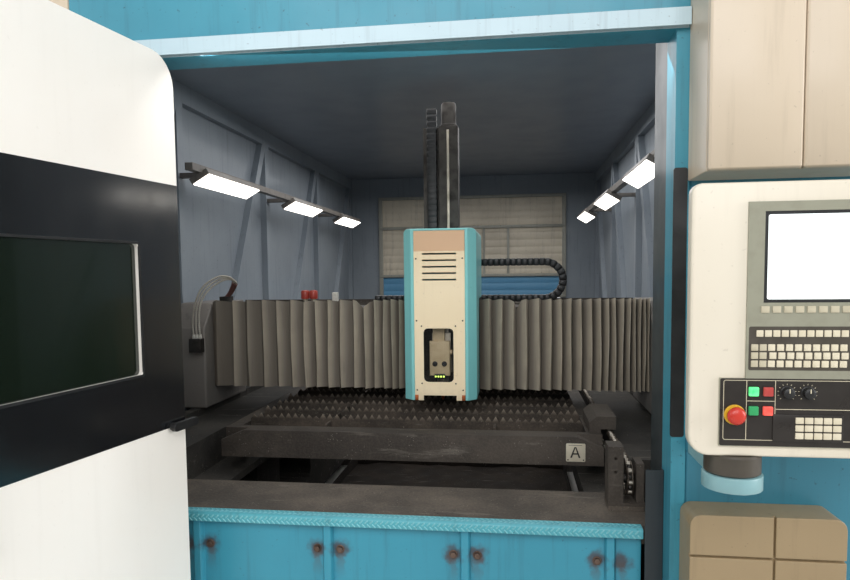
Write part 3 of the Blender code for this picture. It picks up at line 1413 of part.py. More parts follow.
def build_gantry():
    axis = pivot("gantry_axis", (0, BEAM_FRONT, BED_TOP))
    left = (CARRIAGE_X - CARRIAGE_HALF, -GANTRY_HALF)
    right = (CARRIAGE_X + CARRIAGE_HALF, GANTRY_HALF)
    carry(axis, make_beam(), make_housing("end_housing_left", -1),
          make_housing("end_housing_right", 1), make_hoses(),
          make_bellows("bellows_left", left[0] - GAP, left[1], PLEATS_LEFT, 0.86),
          make_bellows("bellows_right", right[0] + GAP, right[1], PLEATS_RIGHT, 1.30))
    carriage = pivot("carriage_axis", Vector((CARRIAGE_X, BEAM_FRONT, BEAM_TOP))
                     - Vector(axis.location), 0.0, axis)
    carry(carriage, make_saddle(), make_cover(), make_cover_face(), make_cover_window(),
          make_mast())
    loop = pivot("carrier_loop_axis", Vector((CARRIER_LOOP_X, CARRIER_Y, CARRIER_LOW_Z))
                 - Vector((CARRIAGE_X, BEAM_FRONT, BEAM_TOP)), 0.0, carriage)
    carry(loop, make_cable_carrier())
    head = pivot("head_axis", Vector((CARRIAGE_X, HEAD_Y, 1.2))
                 - Vector((CARRIAGE_X, BEAM_FRONT, BEAM_TOP)), 0.0, carriage)
    carry(head, make_cutting_head(), make_nozzle())


def build_tower():
    make_tower()
    make_cabinet()
    right = CABINET_L + CABINET_W
    middle = CABINET_L + CABINET_W / 2
    make_cabinet_door("cabinet_door_left", CABINET_L, middle - 0.001, CABINET_L)
    make_cabinet_door("cabinet_door_right", middle + 0.001, right, right)
    make_lower_covers()
    make_pendant()


build_cabin()
build_pallet()
build_gantry()
build_tower()
make_door()
make_track()
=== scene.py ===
"""The looks of the fiber laser cutting machine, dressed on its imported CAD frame.

Everything is in metres in the CAD's own frame: x runs to the operator's right, y into the
machine and z up.  Shapes are numpy surfaces, and finishes are procedural.
"""
import json
import math
from functools import reduce
from operator import add

import bmesh
import bpy
import numpy as np
from mathutils import Matrix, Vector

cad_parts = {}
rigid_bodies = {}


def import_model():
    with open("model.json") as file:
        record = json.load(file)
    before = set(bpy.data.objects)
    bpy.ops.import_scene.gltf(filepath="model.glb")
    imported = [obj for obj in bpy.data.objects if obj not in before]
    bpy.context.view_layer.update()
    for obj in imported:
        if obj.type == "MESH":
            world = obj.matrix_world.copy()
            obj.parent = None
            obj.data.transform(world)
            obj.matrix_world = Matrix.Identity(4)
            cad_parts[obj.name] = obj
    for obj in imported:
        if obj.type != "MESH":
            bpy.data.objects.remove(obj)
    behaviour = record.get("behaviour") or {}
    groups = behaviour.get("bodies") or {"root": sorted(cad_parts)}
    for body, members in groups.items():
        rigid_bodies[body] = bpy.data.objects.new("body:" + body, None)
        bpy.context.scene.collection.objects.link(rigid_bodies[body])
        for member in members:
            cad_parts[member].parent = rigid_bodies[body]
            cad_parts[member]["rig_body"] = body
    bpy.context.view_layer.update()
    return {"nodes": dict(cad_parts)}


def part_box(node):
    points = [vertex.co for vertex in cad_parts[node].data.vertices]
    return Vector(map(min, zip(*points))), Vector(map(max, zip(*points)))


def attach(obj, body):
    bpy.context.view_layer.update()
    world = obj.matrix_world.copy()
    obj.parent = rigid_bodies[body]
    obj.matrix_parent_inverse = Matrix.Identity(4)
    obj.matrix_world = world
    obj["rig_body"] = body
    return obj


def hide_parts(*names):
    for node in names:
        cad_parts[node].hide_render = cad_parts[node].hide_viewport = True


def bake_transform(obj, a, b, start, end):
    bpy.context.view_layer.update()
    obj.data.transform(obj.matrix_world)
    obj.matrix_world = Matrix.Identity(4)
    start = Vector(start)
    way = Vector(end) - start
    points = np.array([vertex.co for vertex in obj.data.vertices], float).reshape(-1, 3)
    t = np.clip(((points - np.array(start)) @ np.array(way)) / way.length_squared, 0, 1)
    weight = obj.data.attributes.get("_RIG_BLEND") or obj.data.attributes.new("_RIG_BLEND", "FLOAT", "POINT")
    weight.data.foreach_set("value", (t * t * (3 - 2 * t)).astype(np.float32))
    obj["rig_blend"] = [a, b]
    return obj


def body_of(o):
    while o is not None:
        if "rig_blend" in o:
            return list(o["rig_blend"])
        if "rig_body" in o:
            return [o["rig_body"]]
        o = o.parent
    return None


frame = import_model()

# The camera, fitted to the photograph's straight edges
EYE = (0.44, -2.05, 1.57)
YAW, PITCH, ROLL = 7.661, 3.867, -0.6365    # degrees: to the left, down, and to the side
LENS_MM = 27.98
SHIFT_UP = 0.032

# Places that the CAD has too
JAMB = (-0.905, -0.112)                     # the inner leaf's hinge line
LEAF_L = 0.905
DOOR_ANGLE = math.radians(81.45)
LEAF_OUT = -0.057                           # the leaves' outer faces, from their hinge lines
GLASS_W, GLASS_LOW, GLASS_TOP = 0.530, 1.288, 1.660
BAND_LOW, BAND_TOP = 1.110, 1.842           # the black band round each glass
CARRIAGE_X = 0.120
COVER_Y = 0.800                             # front of the head's cover
PANEL_Y = -0.4763                           # front of the console's dark panel
BEAM_Y = 0.570                              # front of the pallet's beam
CHAIN_X, CHAIN_PITCH, CHAIN_R = 0.822, 0.0381, 0.04978
CHAIN_END = 4.52
SPROCKET = (0.215, 0.868)
GANTRY_TOP, HOUSING_TOP = 1.4003, 1.4303    # a hair above the beam and its end housings
BELLOWS_FRONT, BELLOWS_BACK = 1.041, 1.092
WALL_X, REAR_Y = 1.2597, 4.8895             # a hair inside the side walls and the rear wall
FENCE_LEFT, FENCE_RIGHT, FENCE_Y = -0.8877, 0.834, 0.035
CARRIER_Y, CARRIER_X, CARRIER_Z, CARRIER_R = 1.462, 0.600, 1.525, 0.095
SWIVEL = (0.955, -0.420)
ROOF_LOW = float(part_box("roof_panel")[0][2])

# Places that the scene moves or adds, read from the photograph
FIRST_RIB, RIB_PITCH, RIB_COUNT = -0.628, 0.4555, 4
RIB_HALF, RIB_Y = 0.017, 0.013              # half the width of a rib's foot, and its front
BOLT_ASIDE, BOLT_Z = 0.039, 0.655
SILL_TOP, SHELF_TOP = 0.775, 0.770
LOZENGE_PITCH = 0.017
SHUTTER_LOW, SHUTTER_TOP, SHUTTER_HALF = 1.302, 2.345, 0.935
SHUTTER_SLATS = 14
LAMP_X, LAMP_Z, LAMP_TILT = 1.075, 2.050, 30
FIRST_LAMP, LAMP_PITCH, LAMP_COUNT = 1.355, 1.286, 3
HOOD_LIFT, FACE_LIFT, WINDOW_WIDER = 0.049, 0.0735, 0.010
LENS_X = 0.114                              # middle of the cutting head's lens housing
HOSE_X, HOSE_Y, HOSE_PITCH = -1.100, 0.970, 0.016


# Forms: points with the faces between them

class Form:
    """Points and groups of faces; a sum of forms is one mesh that holds them all."""

    def __init__(self, points, faces):
        self.points = np.asarray(points, float).reshape(-1, 3)
        self.faces = [np.asarray(group, int) for group in faces]

    def __add__(self, other):
        moved = [group + len(self.points) for group in other.faces]
        return Form(np.vstack([self.points, other.points]), self.faces + moved)

    def at(self, x, y, z):
        """The form moved by x, y and z."""
        return Form(self.points + np.array((x, y, z)), self.faces)

    def turned(self, axis, degrees):
        """The form turned about an axis through the origin."""
        turn = np.array(Matrix.Rotation(math.radians(degrees), 3, axis))
        return Form(self.points @ turn.T, self.faces)

    def repeated(self, places):
        """A copy at each row of places, all in one block of points."""
        places = np.asarray(places, float).reshape(-1, 3)
        points = self.points[None] + places[:, None]
        step = (len(self.points) * np.arange(len(places)))[:, None, None]
        faces = [(group[None] + step).reshape(-1, group.shape[1]) for group in self.faces]
        return Form(points, faces)

    def strung(self, centres, degrees):
        """A copy at each (y, z) centre, turned about the x axis by its own angle."""
        angle = np.radians(degrees)
        y, z = self.points[:, 1], self.points[:, 2]
        turned = np.stack([np.broadcast_to(self.points[:, 0], (len(angle), len(y))),
                           np.cos(angle)[:, None] * y - np.sin(angle)[:, None] * z,
                           np.sin(angle)[:, None] * y + np.cos(angle)[:, None] * z], axis=-1)
        turned[:, :, 1:] += np.asarray(centres)[:, None, :]
        whole = self.repeated(np.zeros((len(angle), 3)))
        return Form(turned, whole.faces)

    def in_leaf(self, hinge, angle):
        """x runs along a door leaf from its hinge line and y through it; both turn by the angle."""
        turn = np.array(Matrix.Rotation(angle, 3, "Z"))
        return Form(self.points @ turn.T + np.array((*hinge, 0.0)), self.faces)


def joined(forms):
    """One form that holds all of them, in their order."""
    return reduce(add, forms)


def skin(rings, capped=True):
    """Quads between neighbouring rings of points, with a face on the first and last ring."""
    rings = np.asarray(rings, float)
    count, around = rings.shape[:2]
    index = np.arange(count * around).reshape(count, around)
    after = np.roll(index, -1, axis=1)
    quads = np.stack([index[:-1], after[:-1], after[1:], index[1:]], axis=-1).reshape(-1, 4)
    caps = [index[:1, ::-1], index[-1:]] if capped else []
    return Form(rings, [quads, *caps])


def inset(outline, distance):
    """Each corner of an anticlockwise outline moved inwards along its mitre: the sum of the two
    edge normals, scaled so that both edges move by the distance."""
    along = np.roll(outline, -1, axis=0) - outline
    along /= np.linalg.norm(along, axis=1, keepdims=True)
    normal = np.stack([-along[:, 1], along[:, 0]], axis=1)
    mitre = normal + np.roll(normal, 1, axis=0)
    mitre *= 2 / (mitre ** 2).sum(axis=1, keepdims=True)
    return outline + mitre * distance


PLANE_ORDER = {"XY": (0, 1, 2), "XZ": (0, 2, 1), "YZ": (2, 0, 1)}


def slab(outline, low, high, plane="XZ", edge=0.0, steps=3):
    """An outline carried from low to high, inset near both ends along a quarter circle:
    inset = edge * (1 - sin t), depth = edge * (1 - cos t)."""
    outline = np.asarray(outline, float)
    turn = np.linspace(0, math.pi / 2, steps + 1) if edge else np.array([math.pi / 2])
    insets = edge * (1 - np.sin(turn))
    depths = edge * (1 - np.cos(turn))
    layers = [(inset(outline, amount), low + depth) for amount, depth in zip(insets, depths)]
    layers += [(flat, low + high - depth) for flat, depth in reversed(layers)]
    rings = np.stack([np.column_stack([flat, np.full(len(flat), depth)])
                      for flat, depth in layers])
    return skin(rings[:, :, PLANE_ORDER[plane]])


def arc(centre, radius, start, end, steps):
    """Points at centre + radius * (cos a, sin a) for angles from start to end, in degrees."""
    angle = np.radians(np.linspace(start, end, steps + 1))
    return np.array(centre) + radius * np.stack([np.cos(angle), np.sin(angle)], axis=1)


def rounded(left, right, low, high, radius, steps=5):
    """A rectangle whose corners are quarter circles, anticlockwise."""
    return np.vstack([arc((right - radius, low + radius), radius, -90, 0, steps),
                      arc((right - radius, high - radius), radius, 0, 90, steps),
                      arc((left + radius, high - radius), radius, 90, 180, steps),
                      arc((left + radius, low + radius), radius, 180, 270, steps)])


def rect(left, right, low, high):
    """A rectangle's corners, anticlockwise."""
    return np.array([(left, low), (right, low), (right, high), (left, high)], float)


def block(low, high, edge=0.0, steps=2):
    """A box between two corners with rounded edges along its depth."""
    return slab(rect(low[0], high[0], low[2], high[2]), low[1], high[1], "XZ", edge, steps)


def ring_round(radius, sides):
    """A circle of points about the z axis."""
    return arc((0, 0), radius, 0, 360 * (1 - 1 / sides), sides - 1)


def lathe(profile, sides=24, axis="Z"):
    """A profile of (radius, height) turned about an axis: (r cos a, r sin a, h)."""
    profile = np.asarray(profile, float)
    angle = np.linspace(0, 2 * math.pi, sides, endpoint=False)
    radius = np.maximum(profile[:, :1], 0.0003)
    rings = np.stack([radius * np.cos(angle), radius * np.sin(angle),
                      np.repeat(profile[:, 1:], sides, axis=1)], axis=-1)
    quarter = {"Z": ("Z", 0), "Y": ("X", 90), "X": ("Y", 90)}[axis]
    return skin(rings).turned(*quarter)


def route(points, count):
    """Catmull-Rom: between two points p1 and p2 the curve is the cubic
    (2 p1 + (p2 - p0) t + (2 p0 - 5 p1 + 4 p2 - p3) t^2 + (3 p1 - p0 - 3 p2 + p3) t^3) / 2."""
    points = np.asarray(points, float)
    ends = np.vstack([2 * points[0] - points[1], points, 2 * points[-1] - points[-2]])
    place = np.linspace(0, len(points) - 1, count)
    start = np.minimum(place.astype(int), len(points) - 2)
    t = (place - start)[:, None]
    p0, p1, p2, p3 = (ends[start + step] for step in range(4))
    return 0.5 * (2 * p1 + (p2 - p0) * t + (2 * p0 - 5 * p1 + 4 * p2 - p3) * t ** 2
                  + (3 * p1 - p0 - 3 * p2 + p3) * t ** 3)


def carried(path, section, swell=1.0, aside=(0.0, 1.0, 0.0)):
    """A section carried along a path: each ring stands on the path's tangent, its first direction
    is the tangent crossed with one fixed direction, and swell scales each ring."""
    path = np.asarray(path, float)
    tangent = np.gradient(path, axis=0)
    tangent /= np.linalg.norm(tangent, axis=1, keepdims=True)
    first = np.cross(tangent, np.array(aside, float))
    first /= np.linalg.norm(first, axis=1, keepdims=True)
    second = np.cross(tangent, first)
    swell = np.broadcast_to(swell, (len(path),))[:, None, None]
    section = np.asarray(section, float)
    ring = section[None, :, :1] * first[:, None] + section[None, :, 1:] * second[:, None]
    return skin(path[:, None] + swell * ring)


def hose(path, radius):
    """A round hose: a circle carried along a path, with one radius for each point."""
    return carried(path, ring_round(1.0, 12), radius)


def hole_band(outer, inner, low, high, plane="XZ"):
    """A flat frame: two outlines with as many corners each, joined on both faces and both edges."""
    layers = [(outer, low), (outer, high), (inner, high), (inner, low), (outer, low)]
    rings = np.stack([np.column_stack([flat, np.full(len(flat), depth)])
                      for flat, depth in layers])
    return skin(rings[:, :, PLANE_ORDER[plane]], capped=False)


def frame_round(left, right, low, high, width, front, back, radius=0.004):
    """A frame of one width round a rectangular opening."""
    outer = rounded(left - width, right + width, low - width, high + width, radius + width)
    return hole_band(outer, rounded(left, right, low, high, radius), front, back)


CREASE = 32                                 # degrees past which an edge stays sharp


def mesh_of(name, form):
    """A form as a mesh that no object has yet."""
    data = bpy.data.meshes.new(name)
    faces = [tuple(face) for group in form.faces for face in group.tolist()]
    data.from_pydata(form.points.tolist(), [], faces)
    return data


def build(name, form, finish, body, replaces=(), crease=CREASE, edge=0.0):
    """Put a form into a mesh object, face it outwards, paint it and let it ride on its body."""
    return dress(name, mesh_of(name, form), finish, body, replaces, crease, edge)


def dress(name, data, finish, body, replaces, crease, edge):
    """Merge doubles, turn the faces outwards, shade smooth up to the crease's angle and round
    sharp edges by the edge's width."""
    shape = bmesh.new()
    shape.from_mesh(data)
    bmesh.ops.remove_doubles(shape, verts=shape.verts, dist=0.000002)
    bmesh.ops.recalc_face_normals(shape, faces=shape.faces)
    shape.to_mesh(data)
    shape.free()
    data.shade_smooth()
    data.set_sharp_from_angle(angle=math.radians(crease))
    piece = bpy.data.objects.new(name, data)
    bpy.context.scene.collection.objects.link(piece)
    data.materials.append(finish)
    if edge:
        soften = piece.modifiers.new("soft_edges", "BEVEL")
        soften.width = edge
        soften.segments = 2
        soften.limit_method = "ANGLE"
        soften.angle_limit = math.radians(CREASE)
        soften.harden_normals = True
    if body:
        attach(piece, body)
    if replaces:
        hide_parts(*replaces)
    return piece


def soft_copy(node, finish, edge):
    """A copy of a CAD node whose sharp edges are rounded, in place of the node."""
    source = frame["nodes"][node]
    data = source.data.copy()
    data.materials.clear()
    shape = bmesh.new()
    shape.from_mesh(data)
    bmesh.ops.remove_doubles(shape, verts=shape.verts, dist=0.00002)
    bmesh.ops.dissolve_limit(shape, angle_limit=math.radians(1), verts=shape.verts,
                             edges=shape.edges)
    shape.to_mesh(data)
    shape.free()
    return dress(node + "_formed", data, finish, body_of(source)[0], (node,), CREASE, edge)


def paint_node(finish, *nodes):
    """Give CAD nodes that stay as they are their finish."""
    for node in nodes:
        for place in frame["nodes"][node].material_slots:
            place.material = finish


# Paint: shader maths in Python, and one finish for each surface of the machine

class Socket:
    """A value in a shader; reckoning with it adds the Math nodes that work it out."""

    def __init__(self, paint, link):
        self.paint = paint
        self.link = link

    def reckon(self, operation, *values):
        """A Math node with its operation, on values or other sockets."""
        return self.paint.node("ShaderNodeMath", {"operation": operation}, values)

    def __add__(self, other):
        return self.reckon("ADD", self, other)

    def __sub__(self, other):
        return self.reckon("SUBTRACT", self, other)

    def __rsub__(self, other):
        return self.reckon("SUBTRACT", other, self)

    def __mul__(self, other):
        return self.reckon("MULTIPLY", self, other)

    __radd__ = __add__
    __rmul__ = __mul__

    def less(self, other):
        return self.reckon("LESS_THAN", self, other)

    def more(self, other):
        return self.reckon("GREATER_THAN", self, other)

    def size(self):
        return self.reckon("ABSOLUTE", self)

    def wave(self, length):
        """The distance to the nearest multiple of length, which rises and falls in a line."""
        return self.reckon("PINGPONG", self, length / 2)

    def fade(self, low, high):
        """0 at low and 1 at high, smooth in between; low above high fades the other way."""
        if low > high:
            return 1 - self.fade(high, low)
        return self.paint.node("ShaderNodeMapRange", {"interpolation_type": "SMOOTHSTEP"},
                               {0: self, 1: low, 2: high, 3: 0.0, 4: 1.0})


class Paint:
    """A finish: a Principled shader with the nodes that vary it over the surface."""

    def __init__(self, name, colour, roughness=0.5, metallic=0.0, coat=0.0):
        self.material = bpy.data.materials.new(name)
        self.material.use_nodes = True
        self.tree = self.material.node_tree
        self.shader = self.tree.nodes["Principled BSDF"]
        self.colour = rgb(colour)
        self.shader.inputs["Base Color"].default_value = self.colour
        self.shader.inputs["Roughness"].default_value = roughness
        self.shader.inputs["Metallic"].default_value = metallic
        self.shader.inputs["Coat Weight"].default_value = coat
        self.shader.inputs["Coat Roughness"].default_value = 0.15
        place = self.tree.nodes.new("ShaderNodeTexCoord")
        self.place = Socket(self, place.outputs["Object"])
        self.normal = None

    def node(self, kind, settings=None, values=(), output=0):
        """A node of a type, with its settings first and then the values or links of its sockets."""
        made = self.tree.nodes.new(kind)
        for name, value in (settings or {}).items():
            setattr(made, name, value)
        pairs = values.items() if isinstance(values, dict) else enumerate(values)
        for name, value in pairs:
            if isinstance(value, Socket):
                self.tree.links.new(value.link, made.inputs[name])
            else:
                made.inputs[name].default_value = value
        return Socket(self, made.outputs[output])

    def along(self, axis):
        """The place along one axis, in metres."""
        return self.node("ShaderNodeSeparateXYZ", {}, (self.place,), "XYZ".index(axis))

    def stretched(self, *scale):
        """The place scaled along each axis; clouds grow longer where the scale is small."""
        return self.node("ShaderNodeMapping", {}, {"Vector": self.place, "Scale": scale})

    def noise(self, size, detail=4.0, rough=0.55, place=None):
        """Cloudy values about 0.5 whose clouds are about size metres wide."""
        return self.node("ShaderNodeTexNoise", {},
                         {"Vector": place or self.place, "Scale": 1 / size, "Detail": detail,
                          "Roughness": rough})

    def cells(self, size):
        """The distance to the nearest of scattered points that are about size metres apart."""
        return self.node("ShaderNodeTexVoronoi", {"feature": "F1"},
                         {"Vector": self.place, "Scale": 1 / size})

    def blend(self, factor, first, second):
        """A colour between two, each a hex colour, a colour in scene units or a link."""
        ends = [end if isinstance(end, Socket) else rgb(end) for end in (first, second)]
        return self.node("ShaderNodeMix", {"data_type": "RGBA"},
                         {0: factor, 6: ends[0], 7: ends[1]}, 2)

    def tint(self, factor, colour):
        """Lay a colour over what the finish has so far, by a factor from 0 to 1."""
        self.colour = self.blend(factor, self.colour, colour)
        return self.drive("Base Color", self.colour)

    def drive(self, name, value):
        """Let a value or colour that varies over the surface feed one of the shader's sockets."""
        self.tree.links.new(value.link, self.shader.inputs[name])
        return self

    def relief(self, height, depth, strength=1.0):
        """A height from 0 to 1 raised by depth metres, on top of the relief before it."""
        values = {"Strength": strength, "Distance": depth, "Height": height}
        if self.normal:
            values["Normal"] = self.normal
        self.normal = self.node("ShaderNodeBump", {}, values)
        return self.drive("Normal", self.normal)

    def glow(self, colour, strength):
        """Let the surface give off light."""
        self.shader.inputs["Emission Color"].default_value = rgb(colour)
        self.shader.inputs["Emission Strength"].default_value = strength
        return self


def rgb(colour):
    """A hex colour in scene units: each part is ((c + 0.055) / 1.055) to the power 2.4.  A colour
    that is in scene units already stays as it is."""
    if not isinstance(colour, str):
        return colour
    parts = np.array([int(colour[i:i + 2], 16) for i in (1, 3, 5)]) / 255
    parts = np.where(parts > 0.04045, ((parts + 0.055) / 1.055) ** 2.4, parts / 12.92)
    return (*parts.tolist(), 1.0)


def coated_sheet(name, colour, shade, soil, roughness=0.38, soiled=0.35, coat=0.2):
    """Sprayed sheet metal: clouds of a darker shade, soil that settles low down, runs of dirt,
    fine scratches that dull the gloss, and the spray's orange peel."""
    paint = Paint(name, colour, roughness, 0.0, coat)
    paint.tint(paint.noise(0.7, 5).fade(0.35, 0.75) * 0.55, shade)
    runs = paint.noise(0.03, 5, 0.6, paint.stretched(1, 1, 0.06)).fade(0.52, 0.74)
    low = paint.along("Z").fade(1.3, 0.1)
    paint.tint((runs * 0.5 + low * 0.5) * soiled, soil)
    specks = paint.noise(0.012, 2, 0.5).fade(0.68, 0.76)
    paint.tint(specks * soiled, soil)
    scratch = paint.noise(0.004, 3, 0.7, paint.stretched(1, 0.3, 0.02)).fade(0.66, 0.72)
    dull = paint.noise(0.2, 4).fade(0.3, 0.8)
    paint.drive("Roughness", roughness + dull * 0.16 + scratch * 0.15)
    return paint.relief(paint.noise(0.0035, 2), 0.00008).relief(scratch, 0.00005)


def dusted_steel(name, colour, dust, roughness=0.72, metallic=0.35, cover=0.75):
    """Rough steel under cutting dust: dust in patches of two sizes, spatter that stands out
    as small bright beads, and worn marks where the metal shows."""
    paint = Paint(name, colour, roughness, metallic)
    patches = paint.noise(0.25, 6, 0.62).fade(0.36, 0.66)
    grain = paint.noise(0.008, 3, 0.6).fade(0.35, 0.7)
    lie = patches * 0.65 + grain * 0.35
    paint.tint(lie * cover, dust)
    rubbed = paint.noise(0.05, 5, 0.65, paint.stretched(0.15, 1, 1)).fade(0.6, 0.72)
    paint.tint(rubbed * 0.35, "#8d867c")
    beads = paint.cells(0.011).fade(0.20, 0.12) * paint.noise(0.06, 2).fade(0.52, 0.6)
    paint.tint(beads * 0.6, "#9b9489")
    paint.drive("Metallic", metallic - lie * metallic * 0.8 + rubbed * 0.3)
    paint.drive("Roughness", roughness + lie * 0.18 - rubbed * 0.3)
    return paint.relief(grain, 0.0004).relief(beads, 0.0008)


def bare_metal(name, colour, roughness=0.3, grain=(1, 1, 0.03), tarnish="#5d5850"):
    """Machined metal: fine lines in the grain's direction, and a thin uneven tarnish."""
    paint = Paint(name, colour, roughness, 1.0)
    lines = paint.noise(0.0015, 3, 0.6, paint.stretched(*grain))
    clouds = paint.noise(0.05, 5).fade(0.4, 0.75)
    paint.tint(clouds * 0.45, tarnish)
    paint.drive("Roughness", roughness + lines * 0.16 + clouds * 0.2)
    return paint.relief(lines, 0.00004)


def moulded(name, colour, shade, roughness=0.5, grain=0.0012):
    """Moulded plastic: an even colour with a fine moulded grain and finger-worn gloss."""
    paint = Paint(name, colour, roughness)
    paint.tint(paint.noise(0.04, 4).fade(0.4, 0.8) * 0.5, shade)
    paint.drive("Roughness", roughness + paint.noise(0.06, 4).fade(0.3, 0.7) * -0.14)
    return paint.relief(paint.noise(grain, 2), 0.00006)


def gloss(name, colour, roughness=0.08):
    """Smooth glass or lacquer with faint smears."""
    paint = Paint(name, colour, roughness, 0.0, 1.0)
    smear = paint.noise(0.11, 5, 0.6, paint.stretched(1, 1, 0.5)).fade(0.4, 0.75)
    return paint.drive("Roughness", roughness + smear * 0.12)


def lit(name, colour, strength, edge="#ffffff", size=0.02):
    """A lit face whose light is a little uneven."""
    paint = Paint(name, colour, 0.3)
    paint.glow(colour, strength)
    uneven = paint.noise(size, 2).fade(0.2, 0.9)
    return paint.drive("Emission Color", paint.blend(uneven, colour, edge))


def make_fence_paint():
    """The fence's blue, made lighter than the machine's blue as painted light, with a wide soft brown stain
    and a short run at each bolt, and a painted shadow in a band below the sill.  The bolts stand at a fixed
    distance on both sides of each rib."""
    # painted light: the base blue and its clouds are lighter than the machine's blue, which is the same
    # paint
    paint = coated_sheet("fence_blue_painted_light_and_shadow", "#3fa3bd", "#3290aa", "#2b4f58", 0.42, 0.4)
    across = (paint.along("X") - FIRST_RIB).wave(RIB_PITCH)
    aside = (across - BOLT_ASIDE).size()
    drop = paint.along("Z") - BOLT_Z
    wobble = (paint.noise(0.03, 4) - 0.5) * 0.05
    far = paint.node("ShaderNodeMath", {"operation": "SQRT"}, (aside * aside + drop * drop,))
    ring = (far + wobble).fade(0.042, 0.012)
    run = (aside + wobble).fade(0.020, 0.006) * drop.fade(-0.11, -0.02) * drop.fade(0.01, -0.01)
    # painted shadow: the fence darkens in a band just below the sill, where the sill's shadow falls
    edge = paint.along("Z").fade(0.715, 0.742) * 0.35
    paint.tint(edge, "#1f6c86")
    return paint.tint(ring * 0.85, "#4b3c40").tint(run * 0.4, "#5a4a42").material


def make_face_paint():
    """The cream front of the head's cover, with an amber patch at its top and soot low down."""
    paint = coated_sheet("cover_cream", "#ffecc8", "#f8dcae", "#a28f72", 0.36, 0.22)
    high = (paint.along("Z") + paint.noise(0.03, 3) * 0.006).fade(1.661, 1.668)
    faint = paint.along("Z").fade(1.50, 1.66)
    smoke = (paint.along("Z") + paint.noise(0.02, 4) * 0.05).fade(1.10, 1.03)
    paint.tint(faint * 0.25, "#eccfa0")
    return paint.tint(high * 0.85, "#dcae86").tint(smoke * 0.3, "#8f7b62").material


def make_shutter_paint():
    """The shutter behind the pallet's opening: beige-grey slats, and blue ones at the bottom."""
    paint = coated_sheet("shutter_slats", "#dbd0bc", "#c5baa7", "#787165", 0.6, 0.6)
    low = paint.along("Z").fade(1.532, 1.528)
    clouds = paint.noise(0.35, 5, 0.6).fade(0.3, 0.75)
    paint.tint(clouds * 0.25, "#8b8478")
    return paint.tint(low * 0.9, "#4292c0").material


def make_roof_paint():
    """The roof is blue outside, and its underside is as dark as the walls."""
    paint = coated_sheet("roof_blue", "#3f98ae", "#2f7f95", BLUE_SOIL, 0.42, 0.45)
    under = paint.along("Z").less(ROOF_LOW + 0.0004)
    return paint.tint(under, "#8d95a0").material


def make_tower_paint():
    """The tower's blue, made darker than the machine's blue as painted shade, the paler bracket that stands
    out of it, and its dark side in the cabin.
    """
    # painted shade: the base blue and its clouds are darker than the machine's blue, which is the same paint
    paint = coated_sheet("tower_blue_painted_shade", "#37849b", "#2b6c81", BLUE_SOIL, 0.4, 0.4)
    arm = paint.along("Y").less(-0.125)
    inside = paint.along("X").less(0.936) * paint.along("Y").more(0.004)
    return paint.tint(arm * 0.8, "#93b9bb").tint(inside * 0.92, "#3d3c3a").material


def make_bellows_cloth():
    """Coated cloth in folds: pale dust and a painted highlight along the ridges, a brighter painted
    highlight on their crests, painted shade in the valleys, and a weave.
    """
    paint = Paint("bellows_cloth_dust_and_painted_light", "#8b8276", 0.78)
    depth = paint.along("Y")
    ridge = depth.fade(BELLOWS_BACK - 0.014, BELLOWS_FRONT + 0.004)
    crest = depth.fade(BELLOWS_FRONT + 0.010, BELLOWS_FRONT + 0.001)
    cloud = paint.noise(0.09, 5, 0.6).fade(0.3, 0.7)
    # pale dust in clouds, together with a painted highlight, towards the front of the folds
    paint.tint(ridge * (0.55 + cloud * 0.4), "#b9ac98")
    # painted highlight: the crests nearest the front are lightened
    paint.tint(crest * 0.5, "#d9cfbf")
    runs = paint.noise(0.012, 4, 0.6, paint.stretched(1, 1, 0.08)).fade(0.5, 0.75)
    paint.tint(runs * 0.3, "#5d554b")
    # painted shade: the valleys at the back are darkened
    paint.tint(depth.fade(BELLOWS_BACK - 0.030, BELLOWS_BACK - 0.008) * 0.5, "#3d372f")
    weave = paint.noise(0.0016, 2)
    paint.drive("Roughness", 0.7 + weave * 0.2 - runs * 0.15)
    return paint.relief(weave, 0.0002).relief(runs, 0.0004).material


def make_shelf_paint():
    """The shelf behind the sill: brown-grey dust and slag with dull scratches and small grains."""
    paint = dusted_steel("shelf_dust", "#48423c", "#776c61", 0.8, 0.15, 0.8)
    slag = paint.cells(0.02).fade(0.16, 0.08) * paint.noise(0.09, 3).fade(0.5, 0.62)
    paint.tint(slag * 0.8, "#1f1c1a")
    return paint.relief(slag, 0.002).material


def make_slat_paint():
    """The slats' dust, with paler tips where the heat has burnt them clean."""
    paint = dusted_steel("slat_steel", "#39332d", "#61564c", 0.8, 0.35, 0.8)
    tip = paint.along("Z").fade(0.928, 0.953)
    return paint.tint(tip * 0.6, "#a39686").material


BLUE_SOIL = "#1f3238"
DOOR_WHITE = coated_sheet("door_white_enamel", "#fffaf2", "#fbf3e8", "#b7aea0", 0.32, 0.08).material
CABINET = coated_sheet("cabinet_cream_enamel", "#d8c8b2", "#c9b79c", "#83735c", 0.4, 0.3).material
